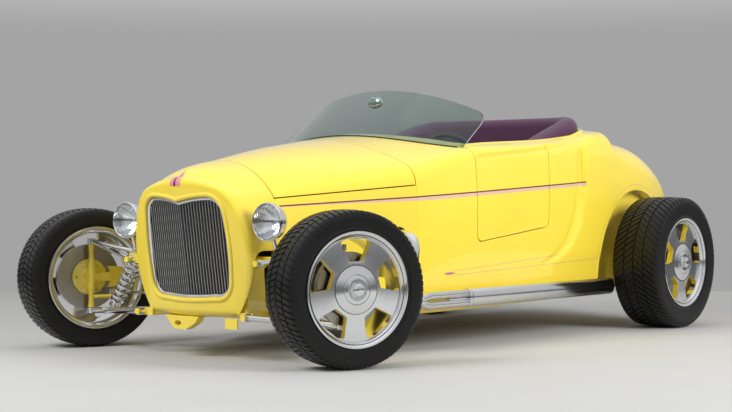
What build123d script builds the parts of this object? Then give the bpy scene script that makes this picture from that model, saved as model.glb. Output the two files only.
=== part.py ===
"""Street rod roadster: an open two-seat body on a narrow frame, with open wheels.

The car faces -Y, its left side is +X and +Z is up. Lengths are in millimetres.
Places along the car are measured near the middle of the wheelbase while it is built;
write() then moves every piece so that the origin lies under the middle of the whole car.
"""
from math import atan2, cos, hypot, radians, sin
import os

from build123d import *

# Driving dimensions of the car
wheelbase = 2640
rear_axle = 1325
front_track = 1558
rear_track = 1594
body_half_width = 640
body_height = 1110
origin_back = 178
steer_rest = -20

# Clearances shared by all pieces
seat_gap = 0.3
seam_gap = 0.8
panel_gap = 6
running_gap = 0.1
overrun = 40

# Panels and walls
panel = 8
cabin_wall = 50
floor_thick = 10

# Wheels and tyres
bead_radius = 215.9
rim_lip_radius = 233.5
barrel_inner_radius = 203
rim_flange = 8
disc_recess = 25
wheel_disc_thick = 28
spoke_count = 5
window_inner_radius = 108
window_outer_radius = 190
window_inner_half = 30
window_outer_half = 62
window_corner = 10
centre_radius = 100
centre_step = 5
cap_radius = 44
cap_height = 14
spinner_radius = 28
spinner_height = 12
front_tyre_radius = 318
front_tyre_width = 214
front_rim_half = 105
rear_tyre_radius = 344.6
rear_tyre_width = 258
rear_rim_half = 125
tread_drop = 5
tread_flat_share = 0.33
shoulder_width = 20
shoulder_drop = 18

# Brakes and hubs
spindle_radius = 22
spindle_end = 50
brake_radius = 150
brake_thick = 24
brake_start = 10
brake_hat_radius = 78
pad_gap = 3
caliper_inner = 96
caliper_outer = 168
caliper_wide = 120
caliper_wall = 9
caliper_back = 24
boss_radius = 48

# Front suspension
kingpin_inset = 28
upper_joint_height = 484
lower_joint_height = 165
joint_radius = 19
joint_length = 24
upright_radius = 20
steer_arm = 95
steer_arm_inset = 15
steer_arm_radius = 9
steer_eye_radius = 15
tie_rod_height = 250
tie_rod_radius = 9
tie_eye_half = 11
rack_radius = 12
rack_half = 318
rack_y = -1225
rack_housing_radius = 22
rack_housing_half = 226
rack_clamp_x = 165
rack_clamp_width = 40
lower_pivot_x = 318
lower_pivot_height = 185
upper_pivot_x = 386
upper_pivot_height = 411
arm_spread = 94
lower_arm_radius = 13
upper_arm_radius = 10
pivot_radius = 17
pivot_length = 34
pivot_pin_radius = 8
pivot_nut_radius = 13
lug_thick = 8
lug_half = 17
coil_foot_x = 600
coil_top_x = 432
coil_radius = 34
coil_ridge = 7
coil_turns = 8
damper_radius = 19
damper_rod_radius = 8
coil_pad_radius = 22
coil_pad_thick = 8

# Frame
rail_x = 236
rail_width = 56
rail_bottom = 176
rail_depth = 98
rail_kick = 232
rail_front = -1195
rail_kick_start = 960
rail_kick_end = 1150
rail_drop_start = 1560
rail_drop_end = 1700
rail_drop = 90
rail_rear = 1850
jack_pad_places = (-760, 860)
jack_pad_half = 45
jack_pad_drop = 22
cross_front = -1380
cross_rear = -1180
cross_bottom = 178
cross_top = 222
tower_front = -1380
tower_rear = -1262
tower_thick = 30
tower_top = 437
shelf_thick = 12
shelf_reach = 456
shelf_half = 36
cross_member_places = (-420, 560, 1830)
cross_member_wide = 70
cross_member_deep = 60
rear_hoop_radius = 20
rear_hoop_top = 700
axle_tube_radius = 38
differential_radius = 112
link_radius = 12
link_front = 880
link_front_height = 206
link_x = 330
link_eye_radius = 20
link_eye_length = 36
rear_coil_x = 470
rear_coil_top_x = 430

# Grille and nose
nose_front = -1516
nose_lean = 0.15
nose_vee = 0.15
nose_edge = 34
nose_centre_height = 732
nose_wall = 70
grille_front = -1478
grille_top = 686
grille_bottom = 258
grille_dip = 20
grille_half = 243
grille_frame = 13
grille_bar = 5
grille_bar_deep = 10
grille_pairs = 17
grille_bar_pitch = 13
grille_thick = 18

# Lamps and mirror
lamp_x = 424
lamp_y = -1385
lamp_height = 583
lamp_radius = 81
lamp_depth = 100
lamp_rim = 18
lamp_lip = 7
lens_thick = 9
lamp_post_radius = 9
lamp_post_y = -1336
tail_lamp_radius = 34
tail_lamp_x = 230
tail_lamp_height = 560
tail_lamp_depth = 14

# Glass
glass_thick = 6
glass_half = 555
glass_base_y = -458
glass_side_y = -200
glass_base_height = 951
glass_rise = 258
glass_rake = 338
glass_side_height = 1085
glass_corner = 70
glass_bend_in = 12.6
glass_bend_drop = 17.5
glass_crest_in = 50.4
glass_crest_rise = 15.4
mirror_half = 46
mirror_tall = 29
mirror_thick = 12
mirror_share = 0.857
mirror_drop = 30
mirror_stem_radius = 6

# Seams along the car
hood_front = -1240
side_seam = -998
cowl_seam = -610
tub_rear = 750
tail_end = 1990
hood_line_front = 678
hood_line_rear = 737
nose_cut = -1396
wing_bottom = 462
wing_corner = 50
header_hole_radius = 36
door_front = -200
door_rear = 420
door_bottom_front = 475
door_bottom_rear = 540
door_corner = 36
arch_radius = 382
arch_wall = 8
wheelhouse_x = 560
axle_hole_radius = 70
lid_front = 1130
lid_rear = 1660
lid_half = 380
lid_corner = 70

# Hinges
hinge_pin_radius = 3
hinge_pin_offset = 2.6
hinge_pin_length = 60
door_hinge_x = 637
door_hinge_heights = (540, 700)
lid_hinge_height = 1035

# Cockpit opening
cockpit_half = 545
cockpit_front = -330
cockpit_side_front = -140
cockpit_side_rear = 650
cockpit_rear = 930

# Engine, driveline and radiator
engine_width = 440
engine_length = 520
engine_tall = 470
engine_front = -1150
engine_bottom = 286
mount_front = -950
mount_length = 70
mount_tall = 50
gearbox_radius = 95
gearbox_height = 305
gearbox_end = -60
shaft_radius = 32
shaft_gap = 1.4
shaft_end_height = 340
tunnel_radius = 147
radiator_half = 215
radiator_thick = 48
radiator_front = -1325
radiator_top = 660

# Cabin
seat_front = 330
cushion_tall = 185
wrap_gap = 8
back_thick = 112
back_top = 1118
wing_top = 930
wing_slope_start = 420
wing_slope_end = 800
seat_round = 34
dash_bottom = 740
dash_thick = 28
firewall_y = -600
firewall_thick = 8
bulkhead_top = 960
steering_radius = 172
steering_rim = 13
rim_sides = 14
driver_x = 270
steering_y = 130
steering_height = 832
column_angle = 24
column_radius = 20
column_gap = 62
steering_hub_radius = 40
steering_hub_length = 50
spoke_radius = 9
wheel_spoke_angles = (90, 210, 330)

# Exhaust
pipe_x = 672
pipe_radius = 19
pipe_upper = 250
pipe_lower = 209
pipe_front = -600
collector_length = 60
merge_y = -331
oval_half_width = 28
oval_half_height = 38
exhaust_end = 958
exhaust_wall = 4
mouth_depth = 160
header_radius = 24
header_y = -700
header_height = 520
header_bend = 70
strap_wide = 30
strap_thick = 6
strap_height = 160
strap_places = (-150, 640)

front_axle = rear_axle - wheelbase
floor_height = rail_bottom + rail_depth + seat_gap
rail_top = rail_bottom + rail_depth
bulkhead_y = cockpit_rear - wrap_gap + seat_gap
kingpin_x = front_track / 2 - kingpin_inset
far = 2 * body_height
bottom_drop = overrun + rail_depth

# Sections of the body, each a row of shares. Columns: place along its length of the body;
# then, as shares of the body height and half width in turn, the low corner's height and
# half width, the middle of the side, the belt, the shoulder's radius and the crown's height.
front_section_shares = [
    (0.000, 0.151, 0.931, 0.423, 0.948, 0.674, 0.931, 0.097, 0.859),
    (0.460, 0.153, 0.734, 0.423, 0.761, 0.635, 0.731, 0.122, 0.822),
    (1.000, 0.162, 0.516, 0.405, 0.581, 0.605, 0.497, 0.135, 0.764),
]
tub_section_shares = [
    (0.000, 0.151, 0.931, 0.423, 0.948, 0.674, 0.931, 0.097, 0.859),
    (0.301, 0.154, 0.938, 0.468, 1.000, 0.773, 0.981, 0.059, 0.904),
    (0.757, 0.160, 0.938, 0.505, 1.003, 0.802, 1.000, 0.056, 0.946),
    (1.000, 0.168, 0.938, 0.505, 1.003, 0.899, 1.000, 0.072, 1.002),
]
deck_section_shares = [
    (0.000, 0.168, 0.919, 0.505, 0.984, 0.892, 0.981, 0.072, 0.991),
    (0.282, 0.180, 0.922, 0.505, 0.981, 0.815, 0.969, 0.108, 0.939),
    (0.565, 0.203, 0.891, 0.477, 0.969, 0.739, 0.953, 0.149, 0.910),
    (0.766, 0.236, 0.836, 0.450, 0.909, 0.649, 0.903, 0.171, 0.860),
    (0.887, 0.261, 0.750, 0.432, 0.828, 0.568, 0.828, 0.171, 0.793),
    (0.960, 0.297, 0.625, 0.396, 0.734, 0.491, 0.722, 0.158, 0.712),
    (1.000, 0.333, 0.469, 0.378, 0.562, 0.423, 0.559, 0.126, 0.622),
]

# Sections of the nose, which leans and forms a vee in plan. Columns as above, where the
# place is a share from the hood seam to the nose's front, then the share of the full lean
# and vee, and the share of the edge's radius by which the section is drawn in.
nose_section_shares = [
    (0.000, 0.162, 0.516, 0.405, 0.581, 0.605, 0.497, 0.135, 0.764, 0.00, 0.00),
    (0.280, 0.161, 0.448, 0.405, 0.571, 0.602, 0.490, 0.135, 0.752, 0.40, 0.00),
    (0.550, 0.160, 0.380, 0.405, 0.562, 0.598, 0.478, 0.135, 0.735, 0.70, 0.00),
    (0.750, 0.158, 0.330, 0.405, 0.554, 0.596, 0.467, 0.135, 0.714, 0.92, 0.00),
    (0.869, 0.158, 0.313, 0.405, 0.550, 0.595, 0.462, 0.135, 0.695, 1.00, 0.00),
    (0.930, 0.158, 0.313, 0.405, 0.550, 0.595, 0.462, 0.135, 0.695, 1.00, 0.10),
    (0.975, 0.158, 0.313, 0.405, 0.550, 0.595, 0.462, 0.135, 0.695, 1.00, 0.40),
    (1.000, 0.158, 0.313, 0.405, 0.550, 0.595, 0.462, 0.135, 0.695, 1.00, 1.00),
]

# Outline of the grille's right half, from the middle of its sill up and over to its dip.
# Columns: share of the half width, share of the height, share of the dip above that, and
# how far out and up the point goes as the outline grows.
grille_outline_shares = [
    (0.00, 0.00, -0.10, 0, -1),
    (0.60, 0.00, 0.25, 0, -1),
    (0.845, 0.00, 1.05, 0.7, -0.7),
    (0.945, 0.00, 3.20, 1, 0),
    (0.985, 0.50, 0.00, 1, 0),
    (0.935, 1.00, -2.90, 1, 0),
    (0.84, 1.00, -0.85, 0.7, 0.7),
    (0.62, 1.00, 0.05, 0, 1),
    (0.30, 1.00, -0.25, 0, 1),
    (0.00, 1.00, -1.00, 0, 1),
]

# Back of a headlamp bowl. Columns: share of the bowl's depth, share of its radius.
lamp_bowl_shares = [
    (0.45, 0.88),
    (0.75, 0.62),
    (0.93, 0.33),
]


# Drawing helpers

def circle_through(a, b, c):
    """Centre of the circle through three points of a plane."""
    d = 2 * (a[0] * (b[1] - c[1]) + b[0] * (c[1] - a[1]) + c[0] * (a[1] - b[1]))
    sa, sb, sc = (p[0] ** 2 + p[1] ** 2 for p in (a, b, c))
    x = (sa * (b[1] - c[1]) + sb * (c[1] - a[1]) + sc * (a[1] - b[1])) / d
    z = (sa * (c[0] - b[0]) + sb * (a[0] - c[0]) + sc * (b[0] - a[0])) / d
    return x, z


def on_circle(centre, radius, angle):
    return centre[0] + radius * cos(angle), centre[1] + radius * sin(angle)


def section_points(shares, inset):
    """Corner points of a cross-section's right half, as (x, z), from the low corner up."""
    low_z, low_x, mid_z, mid_x, belt_z, belt_x, shoulder, crown = shares
    low = (low_x * body_half_width - inset, low_z * body_height)
    mid = (mid_x * body_half_width - inset, mid_z * body_height)
    belt = (belt_x * body_half_width - inset, belt_z * body_height)
    radius = shoulder * body_height - inset
    top = crown * body_height - inset
    side = circle_through(low, mid, belt)
    belt_angle = atan2(belt[1] - side[1], belt[0] - side[0])
    centre = on_circle(belt, -radius, belt_angle)
    rise = centre[1] - top
    crown_radius = (radius ** 2 - centre[0] ** 2 - rise ** 2) / (2 * (rise + radius))
    crown_centre = (0, top - crown_radius)
    join_angle = atan2(centre[1] - crown_centre[1], centre[0])
    join = on_circle(centre, radius, join_angle)
    bend = on_circle(centre, radius, (belt_angle + join_angle) / 2)
    arch = on_circle(crown_centre, crown_radius, (join_angle + radians(90)) / 2)
    return low, mid, belt, bend, join, arch, (0, top)


def section(y, shares, inset=0, drop=0):
    """One closed cross-section of the body at y, drawn in by inset, its bottom lowered."""
    low, mid, belt, bend, join, arch, top = section_points(shares, inset)

    def at(point, sign=1):
        return (sign * point[0], y, point[1])

    bottom = (low[0], low[1] - drop)
    edges = [Line(at(bottom, -1), at(bottom))]
    if drop:
        edges.append(Line(at(bottom), at(low)))
    edges.append(ThreePointArc(at(low), at(mid), at(belt)))
    edges.append(ThreePointArc(at(belt), at(bend), at(join)))
    edges.append(ThreePointArc(at(join), at(top), at(join, -1)))
    edges.append(ThreePointArc(at(join, -1), at(bend, -1), at(belt, -1)))
    edges.append(ThreePointArc(at(belt, -1), at(mid, -1), at(low, -1)))
    if drop:
        edges.append(Line(at(low, -1), at(bottom, -1)))
    return Face(Wire(edges))


def between(rows, place):
    """The shares at any place along the body, by a smooth curve through the rows."""
    spans = [b[0] - a[0] for a, b in zip(rows, rows[1:])]
    i = max(k for k in range(len(spans)) if rows[k][0] <= place)
    t = (place - rows[i][0]) / spans[i]
    shares = []
    for column in range(1, len(rows[0])):
        rates = [(b[column] - a[column]) / span for a, b, span in zip(rows, rows[1:], spans)]
        inner = [2 * p * q / (p + q) if p * q > 0 else 0 for p, q in zip(rates, rates[1:])]
        ends = [rates[0]] + inner + [rates[-1]]
        a, b = rows[i][column], rows[i + 1][column]
        smooth = t * t * (3 - 2 * t)
        pull = t * (1 - t) * ((1 - t) * ends[i] - t * ends[i + 1]) * spans[i]
        shares.append(a + smooth * (b - a) + pull)
    return shares


def body_loft(rows, start, end, inset=0, drop=0):
    """Loft through rows of shares, placed between start and end, with one more in each span."""
    places = [row[0] for row in rows]
    places += [(a + b) / 2 for a, b in zip(places, places[1:])]
    sections = [section(start + p * (end - start), between(rows, p), inset, drop) for p in sorted(places)]
    return loft(sections, ruled=True)


def nose_section(row, inset, setback=0):
    """The right half of a leaning, veed nose section."""
    place, shares, lean_share, edge_share = row[0], row[1:9], row[9], row[10]
    y = hood_front + place * (nose_front - hood_front) + setback
    points = section_points(shares, inset + edge_share * nose_edge)
    low, mid, belt, bend, join, arch, top = points

    def at(point):
        lean = lean_share * (nose_vee * point[0] + nose_lean * (nose_centre_height - point[1]))
        return (point[0], y + lean, point[1])

    low = (low[0], low[1] + edge_share * nose_edge + min(inset, panel))
    foot = (0, low[1])
    edges = [
        Line(at(foot), at(low)),
        ThreePointArc(at(low), at(mid), at(belt)),
        ThreePointArc(at(belt), at(bend), at(join)),
        ThreePointArc(at(join), at(arch), at(top)),
        Line(at(top), at(foot)),
    ]
    return Face(Wire(edges))


def block(x0, x1, y0, y1, z0, z1):
    """A box between two corners."""
    return Pos((x0 + x1) / 2, (y0 + y1) / 2, (z0 + z1) / 2) * Box(x1 - x0, y1 - y0, z1 - z0)


def rod(start, end, radius):
    """A round bar between two points."""
    a, b = Vector(*start), Vector(*end)
    return Plane(origin=a, z_dir=b - a) * extrude(Circle(radius), (b - a).length)


def side_face(points, corner=0, rounded=()):
    """A face in the side view from (y, z) points, with some of its corners rounded."""
    face = make_face(Polyline(*points, close=True))
    if corner:
        picked = [face.vertices().sort_by_distance((*points[i], 0))[0] for i in rounded]
        face = fillet(picked, corner)
    return face


def across(face, x0, x1):
    """A side-view face run across the car from x0 to x1."""
    return Pos(x0, 0, 0) * extrude(Plane.YZ * face, x1 - x0)


def plan_prism(face, z0, z1):
    return Pos(0, 0, z0) * extrude(face, z1 - z0)


def turned(profile):
    """A solid of revolution about the X axis, from (x, radius) points."""
    return revolve(make_face(Polyline(*profile, close=True)), Axis.X)


def two(solid):
    """A piece and its mirror image on the other side of the car."""
    return solid, mirror(solid, Plane.YZ)


def joined(*solids):
    total = solids[0]
    for solid in solids[1:]:
        total = total + solid
    return total


# Body shells

front_outer = body_loft(front_section_shares, cowl_seam, hood_front)
front_inner = body_loft(front_section_shares, cowl_seam, hood_front, panel, bottom_drop)
tub_outer = body_loft(tub_section_shares, cowl_seam, tub_rear)
tub_inner = body_loft(tub_section_shares, cowl_seam, tub_rear, cabin_wall, bottom_drop)
tub_space = body_loft(tub_section_shares, cowl_seam, tub_rear, cabin_wall + seat_gap, bottom_drop)
deck_outer = body_loft(deck_section_shares, tub_rear, tail_end)
deck_inner = body_loft(deck_section_shares, tub_rear, tail_end - panel, panel, bottom_drop)
deck_space = body_loft(deck_section_shares, tub_rear, tail_end - panel, panel + seat_gap, bottom_drop)
front_shell = front_outer - front_inner
deck_shell = deck_outer - deck_inner


def hood_line(y):
    """Height of the seam between the hood top and the panels below it."""
    share = (y - hood_front) / (cowl_seam - hood_front)
    return hood_line_front + share * (hood_line_rear - hood_line_front)


def hood_region(y0, y1, offset):
    """Everything over the hood's lower edge between y0 and y1, the edge shifted by offset."""
    face = side_face([(y0, hood_line(y0) + offset), (y1, hood_line(y1) + offset), (y1, far), (y0, far)])
    return across(face, -far, far)


def cockpit_face(grow=0):
    """Plan outline of the cockpit opening, with a bowed front and a rounded rear."""
    half = cockpit_half + grow
    front = ThreePointArc((-half, cockpit_side_front), (0, cockpit_front - grow), (half, cockpit_side_front))
    rear = ThreePointArc((half, cockpit_side_rear), (0, cockpit_rear + grow), (-half, cockpit_side_rear))
    right = Line((half, cockpit_side_front), (half, cockpit_side_rear))
    left = Line((-half, cockpit_side_rear), (-half, cockpit_side_front))
    return make_face(front + right + rear + left)


def door_face(inset=0):
    """Side outline of a door, drawn in by inset, its lower corners rounded."""
    points = [
        (door_front + inset, far),
        (door_front + inset, door_bottom_front + inset),
        (door_rear - inset, door_bottom_rear + inset),
        (door_rear - inset, far),
    ]
    return side_face(points, door_corner, (1, 2))


cockpit_cut = plan_prism(cockpit_face(), body_height / 2, far)


# Nose, hood and sides

def grille_face(grow):
    """Front outline of the grille, widest at its belly and dipped at the top."""
    tall = grille_top - grille_bottom
    points = []
    for width_share, height_share, dip_share, out, up in grille_outline_shares:
        z = grille_bottom + height_share * tall + dip_share * grille_dip
        points.append((width_share * grille_half + out * grow, z + up * grow))
    sill, toe, corner, foot, belly, head, ear, brow, slope, dip = points
    half = Curve() + [
        ThreePointArc(toe, corner, foot),
        ThreePointArc(foot, belly, head),
        ThreePointArc(head, ear, brow),
        ThreePointArc(brow, slope, dip),
    ]
    under = ThreePointArc((-toe[0], toe[1]), sill, toe)
    wires = half.edges() + mirror(half, Plane.YZ).edges() + under.edges()
    return Plane.XZ * Face(Wire(wires))


def grille_prism(grow):
    """The grille's outline run from well before the nose to the hood seam."""
    start = nose_front - overrun
    return extrude(Pos(0, start, 0) * grille_face(grow), hood_front - start, dir=(0, 1, 0))


def leaning_bar(x0, x1, front, deep, vee=nose_vee):
    """A slab across x0 to x1 that leans with the nose and falls back to the side."""
    z0, z1 = grille_bottom - overrun, grille_top + overrun
    y0 = front + nose_lean * (nose_centre_height - z0)
    y1 = front + nose_lean * (nose_centre_height - z1)
    face = Plane.YZ * side_face([(y0, z0), (y0 + deep, z0), (y1 + deep, z1), (y1, z1)])
    run = x1 - x0
    slant = hypot(1, vee)
    return Pos(x0, nose_vee * abs(x0), 0) * extrude(face, run * slant, dir=Vector(1, vee, 0).normalized())


def make_grille():
    """Frame and upright bars of the grille, in two leaning halves that meet in a vee."""
    reach = grille_half + overrun
    half_frame = leaning_bar(0, reach, grille_front, grille_thick)
    slab = joined(*two(half_frame))
    frame = slab & (grille_prism(0) - grille_prism(-grille_frame))
    bars = []
    for i in range(grille_pairs):
        x = i * grille_bar_pitch
        bar = leaning_bar(x - grille_bar / 2, x + grille_bar / 2, grille_front + grille_bar_deep / 2,
                          grille_bar_deep, 0)
        bars.append(bar)
        if i:
            bars.append(mirror(bar, Plane.YZ))
    window = grille_prism(-grille_frame / 2)
    return joined(frame, *[bar & window for bar in bars])


def make_nose():
    """Nose shell: the rolled front round the grille and the wings over the front wheels."""
    rows = nose_section_shares
    solid = loft([nose_section(row, 0) for row in rows], ruled=True)
    lip = [row for row in rows if row[10] == 0][-1]
    hollow = loft([nose_section(rows[0], panel), nose_section(lip, panel, nose_wall)])
    front = joined(*two(solid)) - joined(*two(hollow))
    front = front - grille_prism(seat_gap)
    outer = rail_x + rail_width + seat_gap
    front = front - block(-outer, outer, cross_front - seat_gap, hood_front, 0, cross_top + seat_gap)
    wings = front_shell & block(-far, far, hood_front, side_seam - seam_gap, wing_bottom, far)
    wings = wings - hood_region(hood_front - overrun, cowl_seam, 0)
    cut_face = side_face([(nose_cut, -overrun), (nose_cut, wing_bottom), (side_seam, wing_bottom),
                          (side_seam, -overrun)],
                         wing_corner, (1,))
    return joined(front, wings) - across(cut_face, -far, far)


def make_hood():
    """Hood top, hinged at the cowl by a pin in its seam."""
    skin = front_shell & hood_region(hood_front + panel_gap, cowl_seam - panel_gap, panel_gap)
    height = front_section_shares[0][-1] * body_height - hinge_pin_offset
    return skin + hinge_pin_across(cowl_seam - panel_gap + hinge_pin_offset, height)


def hinge_pin_across(y, z):
    half = hinge_pin_length / 2
    return rod((-half, y, z), (half, y, z), hinge_pin_radius)


def make_hood_sides():
    """Fixed panels between the nose wings and the cowl, each with its header pipe hole."""
    skin = front_shell & block(-far, far, side_seam, cowl_seam - seam_gap, 0, far)
    skin = skin - hood_region(side_seam - overrun, cowl_seam + overrun, 0)
    skin = skin - rod((-far, header_y, header_height), (far, header_y, header_height), header_hole_radius)
    return skin


# Tub, doors and deck

def make_tub():
    """Cowl and cockpit sides as one double-walled tub, open at the doors."""
    opening = across(door_face(), cockpit_half / 2, far)
    openings = joined(*two(opening))
    return tub_outer - tub_inner - cockpit_cut - openings


def make_door():
    """Left door, as thick as the tub's wall, with hinge pins in its front seam."""
    skin = (tub_outer - tub_inner - cockpit_cut) & across(door_face(panel_gap), cockpit_half / 2, far)
    y = door_front + panel_gap - hinge_pin_offset
    for height in door_hinge_heights:
        low = (door_hinge_x, y, height)
        high = (door_hinge_x, y, height + hinge_pin_length / 2)
        skin = skin + rod(low, high, hinge_pin_radius)
    return skin


def lid_face(inset=0):
    length = lid_rear - lid_front - 2 * inset
    middle = (lid_front + lid_rear) / 2
    return Pos(0, middle) * RectangleRounded(2 * (lid_half - inset), length, lid_corner - inset)


def make_deck():
    """Rear deck with its wheel arches, wheelhouses and the opening for the lid."""
    shell = deck_shell - cockpit_cut - plan_prism(lid_face(), body_height / 2, far)
    shell = shell & block(-far, far, tub_rear + seam_gap, tail_end, 0, far)
    middle = (rear_axle, rear_tyre_radius)
    arch = rod((wheelhouse_x, *middle), (far, *middle), arch_radius)
    house = rod((wheelhouse_x - arch_wall, *middle), (far, *middle), arch_radius + arch_wall) - arch
    house = house - rod((0, *middle), (far, *middle), axle_hole_radius)
    return joined(shell - joined(*two(arch)), *two(house & deck_outer))


def make_lid():
    lid = deck_shell & plan_prism(lid_face(panel_gap), body_height / 2, far)
    return lid + hinge_pin_across(lid_front + panel_gap - hinge_pin_offset, lid_hinge_height)


# Frame and suspension

def make_frame():
    """Two boxed rails with a kick-up over the axle, cross-members and front towers."""
    low, high = rail_bottom, rail_bottom + rail_kick
    end = high - rail_drop
    path = [(rail_front, low), (rail_kick_start, low), (rail_kick_end, high), (rail_drop_start, high),
            (rail_drop_end, end), (rail_rear, end)]
    upper = [(y, z + rail_depth) for y, z in reversed(path)]
    rail = across(side_face(path + upper), rail_x, rail_x + rail_width)
    for y in jack_pad_places:
        rail = rail + block(rail_x, rail_x + rail_width, y - jack_pad_half, y + jack_pad_half,
                            low - jack_pad_drop, low + jack_pad_drop)
    frame = joined(*two(rail))
    outer = rail_x + rail_width
    hoop_x = rail_x + rail_width / 2
    frame = frame + block(-outer, outer, cross_front, cross_rear, cross_bottom, cross_top)
    for y in cross_member_places:
        base = end if y > rail_drop_end else low
        frame = frame + block(-hoop_x, hoop_x, y - cross_member_wide / 2, y + cross_member_wide / 2,
                              base, base + cross_member_deep / 2)
    tower_face = side_face([(tower_front, cross_bottom), (tower_rear, cross_bottom),
                            (tower_rear - tower_thick / 2, tower_top),
                            (tower_front + tower_thick / 2, tower_top)])
    tower = across(tower_face, outer - tower_thick, outer)
    shelf = block(outer - tower_thick, shelf_reach, front_axle - shelf_half, front_axle + shelf_half,
                  tower_top - shelf_thick, tower_top)
    tower = tower + shelf
    for pivot_x, height in ((lower_pivot_x, lower_pivot_height), (upper_pivot_x, upper_pivot_height)):
        span = arm_spread - pivot_length / 2 - seat_gap
        tower = tower + block(outer - tower_thick, outer - lug_thick, front_axle - span, front_axle + span,
                              height - lug_half, height + lug_half)
        for sign in (-1, 1):
            eye = front_axle + sign * arm_spread
            near = front_axle + sign * span
            away = near - sign * lug_thick
            y0, y1 = min(near, away), max(near, away)
            tower = tower + block(outer - tower_thick, pivot_x + lug_half, y0, y1, height - lug_half,
                                  height + lug_half)
            tip = eye + sign * (pivot_length / 2 + 2 * seat_gap)
            tower = tower + rod((pivot_x, near, height), (pivot_x, tip, height), pivot_pin_radius)
            tower = tower + rod((pivot_x, tip, height), (pivot_x, tip + sign * lug_thick, height),
                                pivot_nut_radius)
    frame = joined(frame, *two(tower))
    housing = rod((-rack_housing_half, rack_y, tie_rod_height), (rack_housing_half, rack_y, tie_rod_height),
                  rack_housing_radius)
    for side in (1, -1):
        x = side * rack_clamp_x
        housing = housing + block(x - rack_clamp_width / 2, x + rack_clamp_width / 2, rack_y - rack_radius,
                                  rack_y + rack_radius, cross_bottom, tie_rod_height)
    bore = rod((-far, rack_y, tie_rod_height), (far, rack_y, tie_rod_height), rack_radius + running_gap)
    frame = (frame + housing) - bore
    hoop = rod((hoop_x, rear_axle, high), (hoop_x, rear_axle, rear_hoop_top), rear_hoop_radius)
    bar = rod((-rear_coil_x, rear_axle, rear_hoop_top), (rear_coil_x, rear_axle, rear_hoop_top),
              rear_hoop_radius)
    return joined(frame, *two(hoop), bar)


def arm(pivot_x, pivot_height, joint_height, radius):
    """One chrome wishbone: two eyes on its pins, two tubes and a joint housing."""
    tip = (kingpin_x, front_axle, joint_height)
    solid = rod((kingpin_x, front_axle, joint_height - joint_length / 2),
                (kingpin_x, front_axle, joint_height + joint_length / 2), joint_radius)
    for sign in (-1, 1):
        y = front_axle + sign * arm_spread
        solid = solid + rod((pivot_x, y, pivot_height), tip, radius)
        solid = solid + rod((pivot_x, y - pivot_length / 2, pivot_height),
                            (pivot_x, y + pivot_length / 2, pivot_height),
                            pivot_radius)
    for sign in (-1, 1):
        y = front_axle + sign * arm_spread
        hole = rod((pivot_x, y - overrun, pivot_height), (pivot_x, y + overrun, pivot_height),
                   pivot_pin_radius + running_gap)
        solid = solid - hole
    trim = rod((kingpin_x, front_axle, joint_height + joint_length / 2), (kingpin_x, front_axle, far),
               2 * joint_radius)
    trim = trim + rod((kingpin_x, front_axle, joint_height - joint_length / 2), (kingpin_x, front_axle, -far),
                      2 * joint_radius)
    return solid - trim


def lower_arm():
    solid = arm(lower_pivot_x, lower_pivot_height, lower_joint_height, lower_arm_radius)
    half = coil_pad_radius
    height = coil_foot_height() - seat_gap
    plate = block(coil_foot_x - half, coil_foot_x + half, front_axle - arm_spread / 2,
                  front_axle + arm_spread / 2,
                  height - coil_pad_thick, height)
    return solid + plate


def coil_foot_height():
    share = (coil_foot_x - lower_pivot_x) / (kingpin_x - lower_pivot_x)
    return lower_pivot_height + share * (lower_joint_height - lower_pivot_height) + lower_arm_radius + seat_gap


def coilover(foot, top):
    """A spring round its damper, drawn as a ridged sleeve between two pads."""
    a, b = Vector(*foot), Vector(*top)
    length = (b - a).length
    start = coil_pad_thick + damper_radius
    body_top = length - start
    pitch = (body_top - start) / coil_turns
    profile = [(0, 0), (0, damper_rod_radius), (start, damper_rod_radius)]
    for i in range(coil_turns):
        x = start + i * pitch
        profile.append((x, coil_radius - coil_ridge))
        profile.append((x + pitch / 2, coil_radius))
    profile += [(body_top, coil_radius - coil_ridge), (body_top, damper_rod_radius),
                (length, damper_rod_radius), (length, 0)]
    spring = turned(profile)
    placed = Plane(origin=a, x_dir=b - a, z_dir=(0, 1, 0)) * spring
    level = block(a.X - far, a.X + far, a.Y - far, a.Y + far, a.Z, b.Z)
    pads = rod((a.X, a.Y, a.Z), (a.X, a.Y, a.Z + coil_pad_thick), coil_pad_radius)
    pads = pads + rod((b.X, b.Y, b.Z - coil_pad_thick), (b.X, b.Y, b.Z), coil_pad_radius)
    return (placed & level) + pads


def make_coilovers():
    front_foot = (coil_foot_x, front_axle, coil_foot_height())
    front_top = (coil_top_x, front_axle, tower_top - shelf_thick - seat_gap)
    rear_foot = (rear_coil_x, rear_axle, rear_tyre_radius + axle_tube_radius + seat_gap)
    rear_top = (rear_coil_top_x, rear_axle, rear_hoop_top - rear_hoop_radius - seat_gap)
    return joined(*two(coilover(front_foot, front_top)), *two(coilover(rear_foot, rear_top)))


def caliper():
    """Brake caliper astride the disc, at the front of the hub, about a wheel's own axis."""
    back = brake_start - pad_gap - caliper_back
    face = brake_start + brake_thick + pad_gap + caliper_wall
    ring = rod((back, 0, 0), (face, 0, 0), caliper_outer) - rod((back - overrun, 0, 0), (far, 0, 0),
                                                                caliper_inner)
    ring = ring & block(back, face, -far, 0, -caliper_wide / 2, caliper_wide / 2)
    slot = rod((brake_start - pad_gap, 0, 0), (brake_start + brake_thick + pad_gap, 0, 0),
               brake_radius + pad_gap)
    bracket = block(back, brake_start - 2 * pad_gap, -caliper_inner - pad_gap, 0, -upright_radius,
                    upright_radius)
    return (ring - slot) + bracket


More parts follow.
